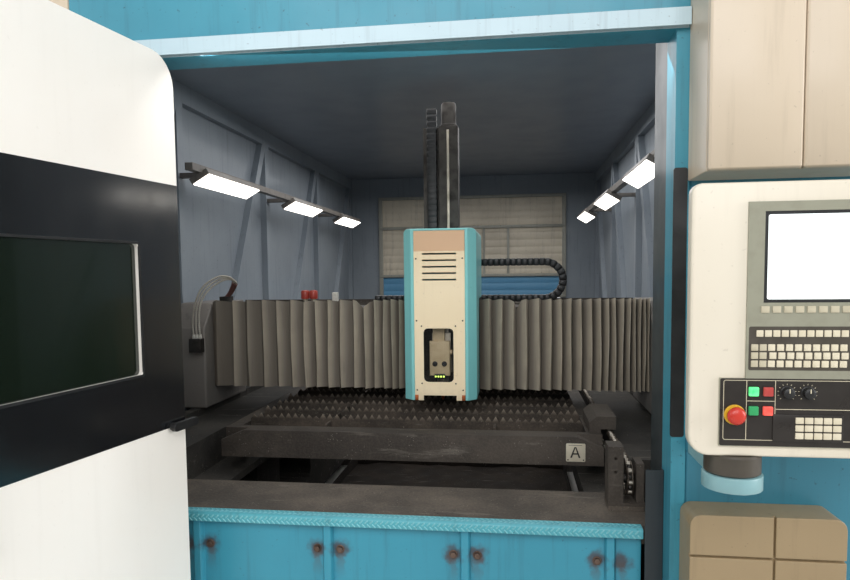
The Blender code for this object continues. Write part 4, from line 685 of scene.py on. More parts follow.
# painted shade: the lower covers are a darker, browner copy of the cream, for the shadow that they stand in
COVERS_PAINTED_SHADE = coated_sheet("cover_cream_painted_shade", "#a48e6c", "#937d5d", "#6d5d47", 0.42, 0.4).material
PENDANT = coated_sheet("pendant_ivory", "#ebe2d0", "#ded2ba", "#978a73", 0.36, 0.18).material
MACHINE_BLUE = coated_sheet("machine_blue", "#3f98ae", "#2f7f95", BLUE_SOIL, 0.42, 0.45).material
TOWER_BLUE_PAINTED_SHADE = make_tower_paint()
SILL_BLUE = coated_sheet("sill_blue", "#5cb9c8", "#459fae", BLUE_SOIL, 0.4, 0.5).material
WORN_BLUE = coated_sheet("tread_worn_blue", "#86cdd6", "#5fb4c0", BLUE_SOIL, 0.36, 0.4).material
TRACK_GREY = coated_sheet("track_grey_blue", "#c6dde6", "#adc6d0", "#5f7078", 0.42, 0.4).material
COVER_TEAL = coated_sheet("cover_teal_enamel", "#8ad3d2", "#6fbdbf", "#4f7d80", 0.36, 0.3).material
GUARD = coated_sheet("guard_blue", "#252e33", "#1e262a", "#101416", 0.46, 0.4).material
HOUSING = coated_sheet("housing_dark", "#7b756f", "#68625d", "#33302d", 0.5, 0.6).material
WALL = coated_sheet("wall_blue", "#8f979f", "#79828b", "#454a50", 0.6, 0.5).material
SHUTTER = make_shutter_paint()
SHUTTER_BAR = coated_sheet("shutter_bars", "#a3a298", "#8d8c83", "#55534c", 0.55, 0.5).material
ROOF = make_roof_paint()
TRAY = dusted_steel("tray_slag", "#241f1b", "#3d352d", 0.85, 0.2, 0.8).material
FENCE = make_fence_paint()
FACE = make_face_paint()
CLOTH = make_bellows_cloth()
SHELF = make_shelf_paint()
BEAM = dusted_steel("pallet_steel", "#3d3732", "#61584f", 0.66, 0.4, 0.7).material
SLATS = make_slat_paint()
BED = dusted_steel("bed_steel", "#2b2926", "#4a453f", 0.75, 0.3, 0.8).material
CHAIN = bare_metal("chain_steel", "#6b6259", 0.42, (1, 1, 1), "#2f2a26").material
ROLLER = bare_metal("roller_steel", "#b8b0a4", 0.28, (0.2, 1, 1)).material
DARK_STEEL = bare_metal("dark_fittings", "#4d4a47", 0.45, (1, 1, 0.2), "#26221f").material
RUSTED = bare_metal("rusted_bolts", "#7d6a60", 0.5, (1, 1, 1), "#4b3730").material
BRIGHT = bare_metal("head_alloy", "#b9b1a2", 0.34, (1, 1, 0.05), "#7a7160").material
COPPER = bare_metal("nozzle_copper", "#b5653f", 0.3, (1, 1, 0.1), "#5e3526").material
BAND = gloss("window_band", "#17181a", 0.16).material
BLACK = moulded("black_moulding", "#1b1b1c", "#272727", 0.48).material
GREY_BAR = moulded("bar_grey", "#5b605d", "#474c4a", 0.4).material
DRUM = moulded("swivel_brown", "#4c463d", "#38332c", 0.45).material
HOSE = moulded("light_hose", "#b3aca1", "#8b847a", 0.55, 0.002).material
FERRULE = moulded("pale_ferrule", "#dcd8cf", "#bcb7ac", 0.45, 0.002).material
HOSE_RED = moulded("hose_wrap_red", "#6e4742", "#523734", 0.6, 0.002).material
LENS_HOUSING = moulded("lens_housing_beige", "#d8c39d", "#b89f78", 0.42, 0.0015).material
BEZEL = moulded("bezel_grey", "#9b9a88", "#888675", 0.42).material
PLATE_DARK = moulded("control_plate", "#2b2622", "#1d1917", 0.4).material
KEY = moulded("key_cream", "#e0d6bd", "#cbbf9f", 0.5, 0.0008).material
SOFT_KEY = moulded("soft_key", "#c6bda4", "#ada386", 0.5, 0.0008).material
LINE = moulded("outline_cream", "#d9cfb4", "#c3b795", 0.55, 0.0008).material
YELLOW = moulded("stop_ring_yellow", "#e0b02c", "#c5951f", 0.4).material
RED = moulded("stop_red", "#cf3a2c", "#a92a20", 0.32).material
MARK_BLACK = moulded("mark_black", "#1a1917", "#2a2826", 0.6).material
MARK_PLATE = moulded("mark_plate", "#d8cfba", "#bdb298", 0.5).material
VALVE_RED = moulded("valve_red", "#b4463a", "#8b342b", 0.45).material
PANEL_LIGHT = lit("lamp_diffuser", "#fff6e6", 3.5, "#ffffff", 0.1).material
SCREEN_LIGHT = lit("screen_glow", "#e4ecec", 0.85, "#f6fafa", 0.12).material
LED = lit("led_lime", "#b7e04a", 2.2, "#e3ff8a", 0.002).material


def make_window_glass(name, colour, alpha):
    """Tinted glass with faint smears that what stands behind it shows through."""
    paint = gloss(name, colour, 0.05)
    paint.drive("Alpha", alpha + paint.noise(0.15, 3).fade(0.4, 0.8) * 0.04)
    return paint.material


LASER_GLASS = make_window_glass("laser_glass_green", "#121c12", 0.92)
PANE = make_window_glass("cover_pane", "#17140f", 0.12)


# The folding door

def leaf_pieces():
    """Each leaf's rounded copy, its black band and the gasket round its window."""
    reach = np.array((math.cos(-DOOR_ANGLE), math.sin(-DOOR_ANGLE))) * LEAF_L
    leaves = (("inner", JAMB, -DOOR_ANGLE, 0.186),
              ("outer", tuple(np.array(JAMB) + reach), DOOR_ANGLE, 0.189))
    for tag, hinge, angle, left in leaves:
        soft_copy("door_leaf_" + tag, DOOR_WHITE, 0.004)
        right = left + GLASS_W
        hole = rounded(left, right, GLASS_LOW, GLASS_TOP, 0.006)
        band = hole_band(rounded(0.007, 0.898, BAND_LOW, BAND_TOP, 0.003), hole,
                         LEAF_OUT - 0.0012, LEAF_OUT + 0.0004)
        build("window_band_" + tag, band.in_leaf(hinge, angle), BAND, "door_" + tag)
        seal = frame_round(left + 0.001, right - 0.001, GLASS_LOW + 0.001, GLASS_TOP - 0.001, 0.007,
                           LEAF_OUT - 0.0021, LEAF_OUT + 0.002)
        build("window_gasket_" + tag, seal.in_leaf(hinge, angle), BLACK, "door_" + tag, edge=0.0006)
        paint_node(LASER_GLASS, "laser_window_" + tag)


def door_pieces():
    """The folding door with its bar, its lever and the track above it."""
    leaf_pieces()
    soft_copy("grab_bar", GREY_BAR, 0.004)
    soft_copy("door_lever", BLACK, 0.004)
    soft_copy("door_track", TRACK_GREY, 0.002)


# The cabin and its front

def fence_form():
    """The fence's plan outline carried upwards: a sheet with boxed ribs that stand out of it."""
    foot, front, slope_y = RIB_HALF, 0.0113, 0.024
    rib = [(-foot, FENCE_Y), (-foot, slope_y), (-front, RIB_Y), (front, RIB_Y), (foot, slope_y),
           (foot, FENCE_Y)]
    ribs = [(FIRST_RIB + RIB_PITCH * n + x, y) for n in range(RIB_COUNT) for x, y in rib]
    outline = [(FENCE_LEFT, FENCE_Y), *ribs, (FENCE_RIGHT, FENCE_Y), (FENCE_RIGHT, 0.047),
               (FENCE_LEFT, 0.047)]
    return slab(outline, 0.1203, 0.7437, "XY")


def sill_form():
    """The sill's side outline carried along x: an upright strip that turns into a flat tread."""
    sheet, radius = 0.004, 0.010
    outline = [(0.0, 0.744), (sheet, 0.744), (sheet, 0.765), (radius, SILL_TOP - sheet),
               (0.046, SILL_TOP - sheet), (0.046, SILL_TOP),
               *arc((radius, SILL_TOP - radius), radius, 90, 180, 4)]
    return slab(outline, FENCE_LEFT, FENCE_RIGHT, "YZ")


def shelf_form():
    """A shallow channel with its lips down, and a packing plate under the sprocket's bracket."""
    near, far, low, sheet = 0.0473, 0.355, 0.710, 0.004
    under = SHELF_TOP - sheet
    outline = [(near, low), (near + sheet, low), (near + sheet, under), (far - sheet, under),
               (far - sheet, low), (far, low), (far, SHELF_TOP), (near, SHELF_TOP)]
    packing = block((0.752, 0.170, SHELF_TOP), (0.868, 0.260, 0.7853))
    return slab(outline, FENCE_LEFT, -FENCE_LEFT, "YZ") + packing


def shutter_form():
    """The rear opening's curtain: a slat stands out by 6 mm * sqrt(|sin(pi (z - low) / pitch)|)."""
    z = np.linspace(SHUTTER_LOW, SHUTTER_TOP, SHUTTER_SLATS * 8 + 1)
    pitch = (SHUTTER_TOP - SHUTTER_LOW) / SHUTTER_SLATS
    front = 4.880 - 0.006 * np.sqrt(np.abs(np.sin(np.pi * (z - SHUTTER_LOW) / pitch)))
    back = np.full(len(z), REAR_Y)
    corners = ((-SHUTTER_HALF, front), (SHUTTER_HALF, front), (SHUTTER_HALF, back),
               (-SHUTTER_HALF, back))
    return skin(np.stack([np.column_stack([np.full(len(z), x), y, z]) for x, y in corners], axis=1))


def shutter_bars():
    """A guide at each side of the curtain, level bars across it, and two short posts."""
    guides = [block((x - 0.020, 4.856, 1.300), (x + 0.020, REAR_Y, 2.360), 0.003)
              for x in (-0.952, 0.952)]
    bars = [block((-0.965, 4.852, z - 0.015), (0.965, 4.870, z + 0.015), 0.003)
            for z in (1.315, 1.535, 2.035, SHUTTER_TOP)]
    posts = [block((x - 0.012, 4.854, 1.540), (x + 0.012, 4.868, 2.030), 0.002)
             for x in (0.135, 0.385)]
    return joined(guides + bars + posts)


def tread_bumps():
    """Raised lozenges of chequer plate: each is a six-sided outline that shrinks as it rises,
    and each row leans the other way."""
    low = np.array([(-0.0092, 0.0), (-0.0055, -0.0026), (0.0055, -0.0026), (0.0092, 0.0),
                    (0.0055, 0.0026), (-0.0055, 0.0026)])
    lozenge = skin(np.stack([np.column_stack([low, np.zeros(6)]),
                             np.column_stack([low * 0.55, np.full(6, 0.0018)])]))
    rows = []
    for row, lean in enumerate((45, -45)):
        across = np.arange(-0.878 + LOZENGE_PITCH / 2 * row, 0.826, LOZENGE_PITCH)
        upright = lozenge.turned("Z", -lean).turned("X", 90)
        rows.append(upright.repeated([(x, 0.0001, 0.7508 + 0.0122 * row) for x in across]))
        flat = lozenge.turned("Z", lean)
        rows.append(flat.repeated([(x, 0.0185 + 0.0165 * row, SILL_TOP - 0.0001) for x in across]))
    return joined(rows)


def fence_bolts():
    """A thin washer and a six-sided head over each bolt beside a rib; the first rib has none on
    its left and the last none on its right."""
    washer = lathe([(0.0, -0.004), (0.0145, -0.004), (0.0145, 0.0008), (0.0132, 0.0018),
                    (0.0, 0.0018)], 20, "Y")
    head = lathe([(0.0, 0.001), (0.0108, 0.001), (0.0108, 0.0095), (0.0095, 0.0110),
                  (0.0, 0.0114)], 6, "Y")
    sides = [FIRST_RIB + RIB_PITCH * n + aside for n in range(RIB_COUNT)
             for aside in (-BOLT_ASIDE, BOLT_ASIDE)]
    places = [(x, FENCE_Y, BOLT_Z) for x in sides[1:-1]]
    return (washer + head).repeated(places)


def tray_form():
    """Three open pans for slag under the pallet: a rim whose wall is one thickness all round, and
    a bed of slag whose height is a sum of sines."""
    half, inside, low, top = 0.822, 0.003, 0.001, 0.105
    pans = []
    for near, far in ((0.118, 1.497), (1.735, 3.115), (3.351, 4.732)):
        outer = rounded(-half, half, near, far, 0.02)
        rim = hole_band(outer, inset(outer, 0.004), low, top, "XY")
        x, y = np.meshgrid(np.linspace(inside - half, half - inside, 67),
                           np.linspace(near + inside, far - inside, 57))
        heap = (0.030 + 0.007 * np.sin(9 * x + 3 * y) * np.sin(7 * y - 2 * x)
                + 0.004 * np.sin(31 * x) * np.sin(27 * y + 5 * x))
        upper = np.stack([x, y, heap], axis=-1)
        under = upper[:, ::-1] * (1, 1, 0) + (0, 0, 2 * low)
        pans.append(rim + skin(np.concatenate([upper, under], axis=1)))
    return joined(pans)


def cabin_pieces():
    """The cabin's panels, what stands in front of them, and the rear opening."""
    paint_node(ROOF, "roof_panel")
    soft_copy("base_frame", HOUSING, 0.004)
    soft_copy("door_frame", MACHINE_BLUE, 0.003)
    soft_copy("front_panel_left", CABINET, 0.004)
    soft_copy("tower_body", TOWER_BLUE_PAINTED_SHADE, 0.003)
    paint_node(BLACK, "column_trim")
    paint_node(WALL, "side_wall_left", "side_wall_right", "rear_wall")
    build("shutter_curtain", shutter_form(), SHUTTER, "root", crease=50)
    build("shutter_bars", shutter_bars(), SHUTTER_BAR, "root", edge=0.002)
    build("slag_trays", tray_form(), TRAY, "root", crease=50)
    build("ribbed_fence", fence_form(), FENCE, "root", ("fence_panel",), edge=0.002)
    build("fence_bolt_heads", fence_bolts(), RUSTED, "root", edge=0.0007)
    build("stepped_sill", sill_form(), SILL_BLUE, "root", ("tread_sill",), edge=0.0015)
    build("tread_lozenges", tread_bumps(), WORN_BLUE, "root", crease=25)
    build("lipped_shelf", shelf_form(), SHELF, "root", ("sill_shelf",), edge=0.0015)
    soft_copy("guard_post", GUARD, 0.003)
    soft_copy("upper_cabinet", CABINET, 0.003)
    soft_copy("cabinet_door_left", CABINET, 0.004)
    soft_copy("cabinet_door_right", CABINET, 0.004)
    soft_copy("lower_covers", COVERS_PAINTED_SHADE, 0.004)


def lamp_pieces():
    """Rows of tilted lamps below a rail that arms hold to the wall's posts; each has a lit face."""
    shell = block((-0.052, -0.330, -0.015), (0.052, 0.330, 0.015), 0.004)
    diffuser = block((-0.0475, -0.322, -0.0195), (0.0475, 0.322, -0.0140), 0.0012)
    for name, side, posts in (("left", -1, (1.210, 2.425, 3.640)),
                              ("right", 1, (1.525, 2.635, 3.745))):
        middle = side * LAMP_X
        places = [(middle, FIRST_LAMP + LAMP_PITCH * n, LAMP_Z) for n in range(LAMP_COUNT)]
        rail = block((middle - 0.020, 0.925, 2.066), (middle + 0.020, 4.357, 2.100), 0.003)
        near, far = sorted((middle, side * WALL_X))
        arm = block((near, -0.020, 2.070), (far, 0.020, 2.095), 0.002)
        arms = arm.repeated([(0.0, y, 0.0) for y in posts])
        shells = shell.turned("Y", side * LAMP_TILT).repeated(places)
        build("lamp_shells_" + name, shells + rail + arms, HOUSING, "root", ("lamp_row_" + name,))
        lights = diffuser.turned("Y", side * LAMP_TILT).repeated(places)
        build("lamp_diffusers_" + name, lights, PANEL_LIGHT, "root")


# The bed, the pallet and its chain drive

def slat_form():
    """Slats: along x the top edge rises in a straight line to each tip and drops to each root;
    heat has eaten the tips by up to 12 mm, which a seeded random draw gives."""
    luck = np.random.default_rng(7)
    half, low, teeth, count, first, pitch = 0.726, 0.850, 46, 18, 0.7415, 0.163
    x = np.linspace(-half, half, teeth * 2 + 1)
    up = np.arange(len(x)) % 2
    corners = ((-0.0025, 0), (0.0025, 0), (0.0016, 1), (-0.0016, 1))
    slats = []
    for number in range(count):
        y = first + pitch * number
        tip = 0.9545 - luck.random(len(x)) ** 3 * 0.012
        root = 0.928 + luck.random(len(x)) * 0.002
        top = np.where(up == 1, tip, root)
        lean = luck.normal(0, 0.0012, len(x))
        slats.append(skin(np.stack([np.stack([x, y + off + lean * level, low + (top - low) * level],
                                             axis=-1) for off, level in corners], axis=1)))
    combs = [block((x - 0.005, 0.665, 0.822), (x + 0.005, 3.605, 0.925), 0.0015)
             for x in (-0.36, 0.36)]
    return joined(slats + combs)


def chain_pins():
    """The pins' (y, z) places: along the top run from the back, round the sprocket in steps of
    one tooth, and along the bottom run to the back."""
    y, z = SPROCKET
    steps = np.arange(int(round((CHAIN_END - y) / CHAIN_PITCH)) + 1) * CHAIN_PITCH
    run = y + np.minimum(steps, CHAIN_END - y)
    top = np.stack([run[::-1], np.full(len(run), z + CHAIN_R)], axis=1)
    front = arc((y, z), CHAIN_R, 135, 225, 2)
    low = np.stack([run, np.full(len(run), z - CHAIN_R)], axis=1)
    return np.vstack([top, front, low])


def chain_form():
    """Chain: a link plate is a rounded bar between two neighbouring pins, and every other link
    stands further out; a roller turns on each pin."""
    pins = chain_pins()
    step = np.diff(pins, axis=0)
    middle = (pins[1:] + pins[:-1]) / 2
    angle = np.degrees(np.arctan2(step[:, 1], step[:, 0]))
    plate = np.vstack([arc((CHAIN_PITCH / 2, 0), 0.0098, -90, 90, 4),
                       arc((-CHAIN_PITCH / 2, 0), 0.0098, 90, 270, 4)])
    links = []
    for first, out in ((0, 0.0068), (1, 0.0092)):
        for x in (CHAIN_X - out, CHAIN_X + out):
            flat = slab(plate, x - 0.0009, x + 0.0009, "YZ")
            links.append(flat.strung(middle[first::2], angle[first::2]))
    roller = lathe([(0.0, -0.0056), (0.0085, -0.0056), (0.0085, 0.0056), (0.0, 0.0056)], 12, "X")
    pin = lathe([(0.0, -0.0099), (0.0036, -0.0099), (0.0036, 0.0099), (0.0, 0.0099)], 8, "X")
    at = np.column_stack([np.full(len(pins), CHAIN_X), pins])
    return joined(links), roller.repeated(at) + pin.repeated(at)


def sprocket_form():
    """Sprocket: radius = root + rise * ((1 - cos(8 a)) / 2)^0.8, so that the eight rollers lie
    in its valleys; a hub stands out on both sides."""
    angle = np.linspace(0, 2 * math.pi, 96, endpoint=False)
    lift = ((1 - np.cos(8 * angle)) / 2) ** 0.8
    radius = CHAIN_R - 0.0088 + 0.0135 * lift
    outline = np.stack([radius * np.cos(angle), radius * np.sin(angle)], axis=1)
    wheel = slab(outline, -0.0048, 0.0048, "YZ", 0.0012, 2)
    hub = lathe([(0.0, -0.0185), (0.012, -0.0185), (0.013, -0.0175), (0.013, -0.008),
                 (0.022, -0.0065), (0.022, 0.0065), (0.013, 0.008), (0.013, 0.0175),
                 (0.012, 0.0185), (0.0, 0.0185)], 20, "X")
    return (wheel + hub).at(CHAIN_X, *SPROCKET)


def letter_plate():
    """A small plate with the pallet's letter: two leaning strokes and a bar, a line above them
    and a screw's dot at both lower corners."""
    plate = slab(rounded(0.644, 0.719, 0.818, 0.891, 0.005), BEAM_Y - 0.0018, BEAM_Y + 0.0002,
                 "XZ", 0.0005, 2)
    middle, low, top = 0.680, 0.834, 0.877
    strokes = [[(middle - 0.020, low), (middle - 0.013, low), (middle + 0.0012, top),
                (middle - 0.0035, top)],
               [(middle + 0.013, low), (middle + 0.020, low), (middle + 0.0035, top),
                (middle - 0.0012, top)],
               [(middle - 0.0125, low + 0.013), (middle + 0.0125, low + 0.013),
                (middle + 0.0105, low + 0.0185), (middle - 0.0105, low + 0.0185)],
               [(middle - 0.026, top + 0.0065), (middle + 0.026, top + 0.0065),
                (middle + 0.026, top + 0.008), (middle - 0.026, top + 0.008)]]
    bars = [slab(stroke, BEAM_Y - 0.0024 - 0.0001 * number, BEAM_Y - 0.0016)
            for number, stroke in enumerate(strokes)]
    dot = lathe([(0.0, 0.0), (0.0028, 0.0), (0.0028, 0.001), (0.002, 0.0014), (0.0, 0.0015)], 10,
                "Y")
    dots = dot.repeated([(x, BEAM_Y - 0.0017, 0.8255) for x in (0.6515, 0.7115)])
    return plate, joined([*bars, dots])


def pallet_pieces():
    """The bed, the exchange pallet on it and the chain that draws it."""
    paint_node(BED, "bed_left", "bed_right")
    soft_copy("pallet_frame", BEAM, 0.003)
    plate, mark = letter_plate()
    build("letter_plate", plate, MARK_PLATE, "pallet")
    build("letter_mark", mark, MARK_BLACK, "pallet")
    build("toothed_slats", slat_form(), SLATS, "pallet", ("slat_grid",), 40)
    paint_node(DARK_STEEL, "wheelset_front", "wheelset_rear")
    links, rollers = chain_form()
    build("chain_links", links, CHAIN, "root", ("drive_chain",))
    build("chain_rollers", rollers, ROLLER, "root")
    build("toothed_sprocket", sprocket_form(), DARK_STEEL, "sprocket", ("chain_sprocket",))
    soft_copy("sprocket_bracket", BEAM, 0.0025)
    soft_copy("chain_drive_unit", HOUSING, 0.004)


# The gantry, its bellows and the head

PLEAT_SIDE, CLOTH_THICK = 0.047, 0.0015     # cloth from a valley to a ridge, and its thickness


def bellows_form(left, right, pleats, widest, narrowest, crest, dips, seed):
    """Folded cloth: over a pleat of width w the front rises in a straight line to its ridge, at the
    share crest of w, and falls back in a straight line; the ridge stands out by
    sqrt(0.047^2 - (w / 2)^2), but by 0.016 or more, so that wide pleats are shallow.  Each dip
    lowers the top edge by drop * (1 - |x - place| / half), and every ridge lifts it a little."""
    luck = np.random.default_rng(seed)
    width = np.linspace(widest, narrowest, pleats) * (1 + luck.normal(0, 0.08, pleats))
    width *= (right - left) / width.sum()
    edges = left + np.concatenate([[0], np.cumsum(width)[:-1]])
    depth = np.sqrt(np.maximum(PLEAT_SIDE ** 2 - (width / 2) ** 2, 0.016 ** 2))
    fall = 1 - crest
    share = np.array([0.0, crest / 2, crest, crest + fall / 3, crest + fall * 2 / 3])
    lift = np.where(share <= crest, share / crest, (1 - share) / fall)
    x = np.append((edges[:, None] + share * width[:, None]).ravel(), right)
    out = np.append((depth[:, None] * lift).ravel(), 0.0)
    peak = np.append(np.tile(lift, pleats), 0.0)
    sag = np.append(np.repeat(luck.random(pleats), len(share)), 0.5)
    low = 1.012 + 0.004 * sag
    top = 1.437 + 0.009 * peak - 0.004 * sag
    for place, half, drop in dips:
        top = top - drop * np.maximum(1 - np.abs(x - place) / half, 0)
    rings = []
    for level in np.linspace(0, 1, 15):
        lean = 0.0022 * np.sin(4.5 * level + 7 * sag) * peak
        front = BELLOWS_BACK - 0.004 - out * (1 - 0.06 * math.cos(2 * math.pi * level))
        rings.append(np.stack([np.clip(x + lean, left, right), np.maximum(front, BELLOWS_FRONT),
                               low + (top - low) * level], axis=-1))
    front = np.stack(rings)
    back = front[::-1].copy()
    back[:, :, 1] = np.minimum(back[:, :, 1] + CLOTH_THICK, BELLOWS_BACK)
    return skin(np.concatenate([front, back]).transpose(1, 0, 2))


def hose_pieces():
    """Three light hoses rise from a block on the housing's front, bend over and come down on the
    housing's top, the last part wrapped in red; each has a pale ferrule where it leaves the
    block.  The ring sizes are 1 + 0.10 cos(pi i / 4) on the hoses and 1 + 0.06 cos(pi i / 3) on
    the wraps."""
    rings, bare_end, wrap_start = 480, 370, 364
    ribbed = 0.0048 * (1 + 0.10 * np.cos(np.arange(bare_end) * math.pi / 4))
    wrap = 0.0080 * (1 + 0.06 * np.cos(np.arange(rings - wrap_start) * math.pi / 3))
    cuff = lathe([(0.0, 0.0), (0.0075, 0.0), (0.0085, 0.002), (0.0085, 0.014), (0.0072, 0.016),
                  (0.0072, 0.024), (0.0, 0.024)], 16)
    light, wrapped = [], []
    for n in range(3):
        points = [(HOSE_PITCH * n, 0.0, 1.255), (-0.004 + HOSE_PITCH * n, 0.0, 1.340),
                  (0.010 + 0.014 * n, 0.002, 1.430),
                  (0.050 + 0.011 * n, 0.015 + 0.006 * n, 1.515 - 0.008 * n),
                  (0.115 + 0.006 * n, 0.060 + 0.014 * n, 1.562 - 0.008 * n),
                  (0.150 + 0.002 * n, 0.130 + 0.012 * n, 1.545 - 0.006 * n),
                  (0.110, 0.190 + 0.014 * n, 1.490), (0.070, 0.215 + 0.014 * n, 1.450)]
        path = route(np.array(points) + (HOSE_X, HOSE_Y, 0.0), rings)
        light.append(hose(path[:bare_end], ribbed))
        wrapped.append(hose(path[wrap_start:], wrap))
    build("light_hoses", joined(light), HOSE, "gantry", ("hose_bundle",), 60)
    build("wrapped_hoses", joined(wrapped), HOSE_RED, "gantry", crease=60)
    ferrules = cuff.repeated([(HOSE_X + HOSE_PITCH * n, HOSE_Y, 1.258) for n in range(3)])
    build("hose_ferrules", ferrules, FERRULE, "gantry")
    outlet = block((-1.118, 0.948, 1.195), (-1.057, 0.9899, 1.262), 0.003)
    foot = block((-1.056, 1.166, HOUSING_TOP), (-1.010, 1.236, 1.458), 0.003)
    build("hose_clamps", outlet + foot, DARK_STEEL, "gantry")


LINK_PITCH = 0.030                          # from one joint of a carrier to the next


def band_section(width, height):
    """A carrier link's section: a flat rounded bar."""
    return rounded(-height / 2, height / 2, -width / 2, width / 2, 0.004, 2)


def link_swell(length):
    """How many rings a chain of plastic links has, and their sizes: full over each link and 12%
    less at each joint."""
    count = int(round(length / LINK_PITCH)) * 6 + 1
    shape = np.array([0.88, 0.985, 1.0, 1.0, 1.0, 0.985])
    return count, np.append(np.tile(shape, (count - 1) // 6), 0.88)


def carrier_pieces():
    """The cable carrier: its upper run and loop, and its lower run, each a banded ribbon."""
    bend = arc((CARRIER_X, CARRIER_Z), CARRIER_R, 90, -90, 30)
    run = np.stack([np.linspace(-0.02, CARRIER_X - 0.005, 60),
                    np.full(60, CARRIER_Z + CARRIER_R)], axis=1)
    upper = np.insert(np.vstack([run, bend]), 1, CARRIER_Y, axis=1)
    section = band_section(0.058, 0.038)
    length = np.linalg.norm(np.diff(upper, axis=0), axis=1)
    along = np.concatenate([[0], np.cumsum(length)])
    count, swell = link_swell(along[-1])
    at = np.linspace(0, along[-1], count)
    path = np.stack([np.interp(at, along, upper[:, axis]) for axis in range(3)], axis=1)
    top = build("carrier_upper", carried(path, section, swell), BLACK, None, (), 50)
    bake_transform(top, "carriage", "carrier_loop", start=(-0.02, 1.462, 1.62), end=(0.60, 1.462, 1.62))
    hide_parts("cable_carrier")
    count, swell = link_swell(0.90)
    path = np.stack([np.linspace(CARRIER_X, -0.30, count), np.full(count, CARRIER_Y),
                     np.full(count, CARRIER_Z - CARRIER_R)], axis=1)
    low = build("carrier_lower", carried(path, section, swell), BLACK, None, (), 50)
    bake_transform(low, "gantry", "carriage", start=(-0.30, 1.462, 1.43), end=(1.50, 1.462, 1.43))
    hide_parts("cable_carrier")


def mast_forms():
    """The mast: a stepped column with its motor and the carrier's arm; a ribbed carrier up its
    recessed half; and a bright rail up the other."""
    outline = [(-0.014, 1.326), (0.070, 1.326), (0.070, 1.290), (0.166, 1.290), (0.166, 1.380),
               (-0.014, 1.380)]
    column = slab(outline, 1.4453, 2.300, "XY")
    motor = lathe([(0.0, 0.0), (0.043, 0.0), (0.043, 0.012), (0.038, 0.014), (0.038, 0.108),
                   (0.034, 0.120), (0.0, 0.120)], 28).at(0.116, 1.335, 2.300)
    arm = block((-0.050, 1.360, 1.570), (0.115, 1.492, 1.5997), 0.002)
    count, swell = link_swell(0.93)
    path = np.stack([np.full(count, 0.033), np.full(count, 1.311), np.linspace(1.46, 2.39, count)],
                    axis=1)
    band = carried(path, band_section(0.050, 0.028), swell, (1.0, 0.0, 0.0))
    rail = block((0.110, 1.2835, 1.460), (0.122, 1.2905, 2.280), 0.001)
    return column + motor + arm, band, rail


def valve_forms():
    """Two small valves on a foot at the rear edge of the beam's top, each a body with a collar
    under a domed cap, and a white fitting beside them."""
    body = lathe([(0.0, 0.0), (0.017, 0.0), (0.017, 0.010), (0.013, 0.012), (0.013, 0.030),
                  (0.016, 0.032), (0.016, 0.044), (0.012, 0.046), (0.0, 0.046)], 16)
    cap = lathe([(0.0, 0.034), (0.0215, 0.034), (0.0225, 0.038), (0.0225, 0.072), (0.019, 0.079),
                 (0.0, 0.081)], 20)
    places = [(x, 1.430, GANTRY_TOP + 0.0005) for x in (-0.685, -0.638)]
    foot = block((-0.725, 1.395, GANTRY_TOP), (-0.600, 1.460, 1.408), 0.0015)
    fitting = block((-0.527, 1.400, GANTRY_TOP), (-0.497, 1.430, 1.469), 0.003)
    return body.repeated(places) + foot, cap.repeated(places), fitting


def gantry_pieces():
    """The beam, its end housings, and what stands on them or runs along them."""
    paint_node(BEAM, "gantry_beam")
    soft_copy("end_housing_left", HOUSING, 0.006)
    soft_copy("end_housing_right", HOUSING, 0.006)
    paint_node(CLOTH, "bellows_left", "bellows_right")
    left = bellows_form(-1.0555, -0.0405, 17, 16, 6, 0.22,
                        ((-0.276, 0.037, 0.043), (-0.574, 0.020, 0.012)), 3)
    right = bellows_form(0.2805, 1.0555, 19, 14, 4, 0.78, ((0.456, 0.022, 0.047),), 5)
    for name, folds, outer, inner in (("left", left, -1.056, -0.04),
                                      ("right", right, 1.056, 0.28)):
        piece = build("folded_bellows_" + name, folds, CLOTH, None, (), 30)
        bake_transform(piece, "gantry", "carriage", start=(outer, 1.06, 1.2), end=(inner, 1.06, 1.2))
        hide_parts("bellows_" + name)
    hose_pieces()
    carrier_pieces()
    bodies, caps, fitting = valve_forms()
    build("valve_bodies", bodies, BRIGHT, "gantry", edge=0.0006)
    build("white_fitting", fitting, FERRULE, "gantry", edge=0.002)
    build("valve_caps", caps, VALVE_RED, "gantry")


def screw_form(radius):
    """A small screw head: a low dome with a round recess in it."""
    return lathe([(radius * 0.5, 0.0009), (radius * 0.55, 0.0020), (radius * 0.85, 0.0016),
                  (radius, 0.0004), (radius, -0.0004)], 12, "Y")


def reshape(piece, rule):
    """Move a copy's points, all at once, to where the rule puts them."""
    points = np.empty(len(piece.data.vertices) * 3)
    piece.data.vertices.foreach_get("co", points)
    piece.data.vertices.foreach_set("co", rule(points.reshape(-1, 3)).ravel())
    piece.data.update()


def raise_top(points):
    """z + HOOD_LIFT above 1.66, z + FACE_LIFT for the face and the opening that it fills, and
    x - WINDOW_WIDER at the window's left side."""
    across, depth, height = points.T
    high = height > 1.66
    face = high & (np.abs(across - CARRIAGE_X) < 0.1125) & (depth < 0.8165) & (height < 1.70)
    window = (np.abs(across - 0.065) < 0.02) & (np.abs(height - 1.21) < 0.14)
    points[:, 0] = across - np.where(window, WINDOW_WIDER, 0.0)
    points[:, 2] = height + np.where(face, FACE_LIFT, np.where(high, HOOD_LIFT, 0.0))
    return points


def hood_pieces():
    """The hood and its cream front, copied and raised to the photograph's height."""
    reshape(soft_copy("head_cover", COVER_TEAL, 0.004), raise_top)
    reshape(soft_copy("cover_front", FACE, 0.001), raise_top)
    reshape(soft_copy("cover_window", PANE, 0.0004), raise_top)


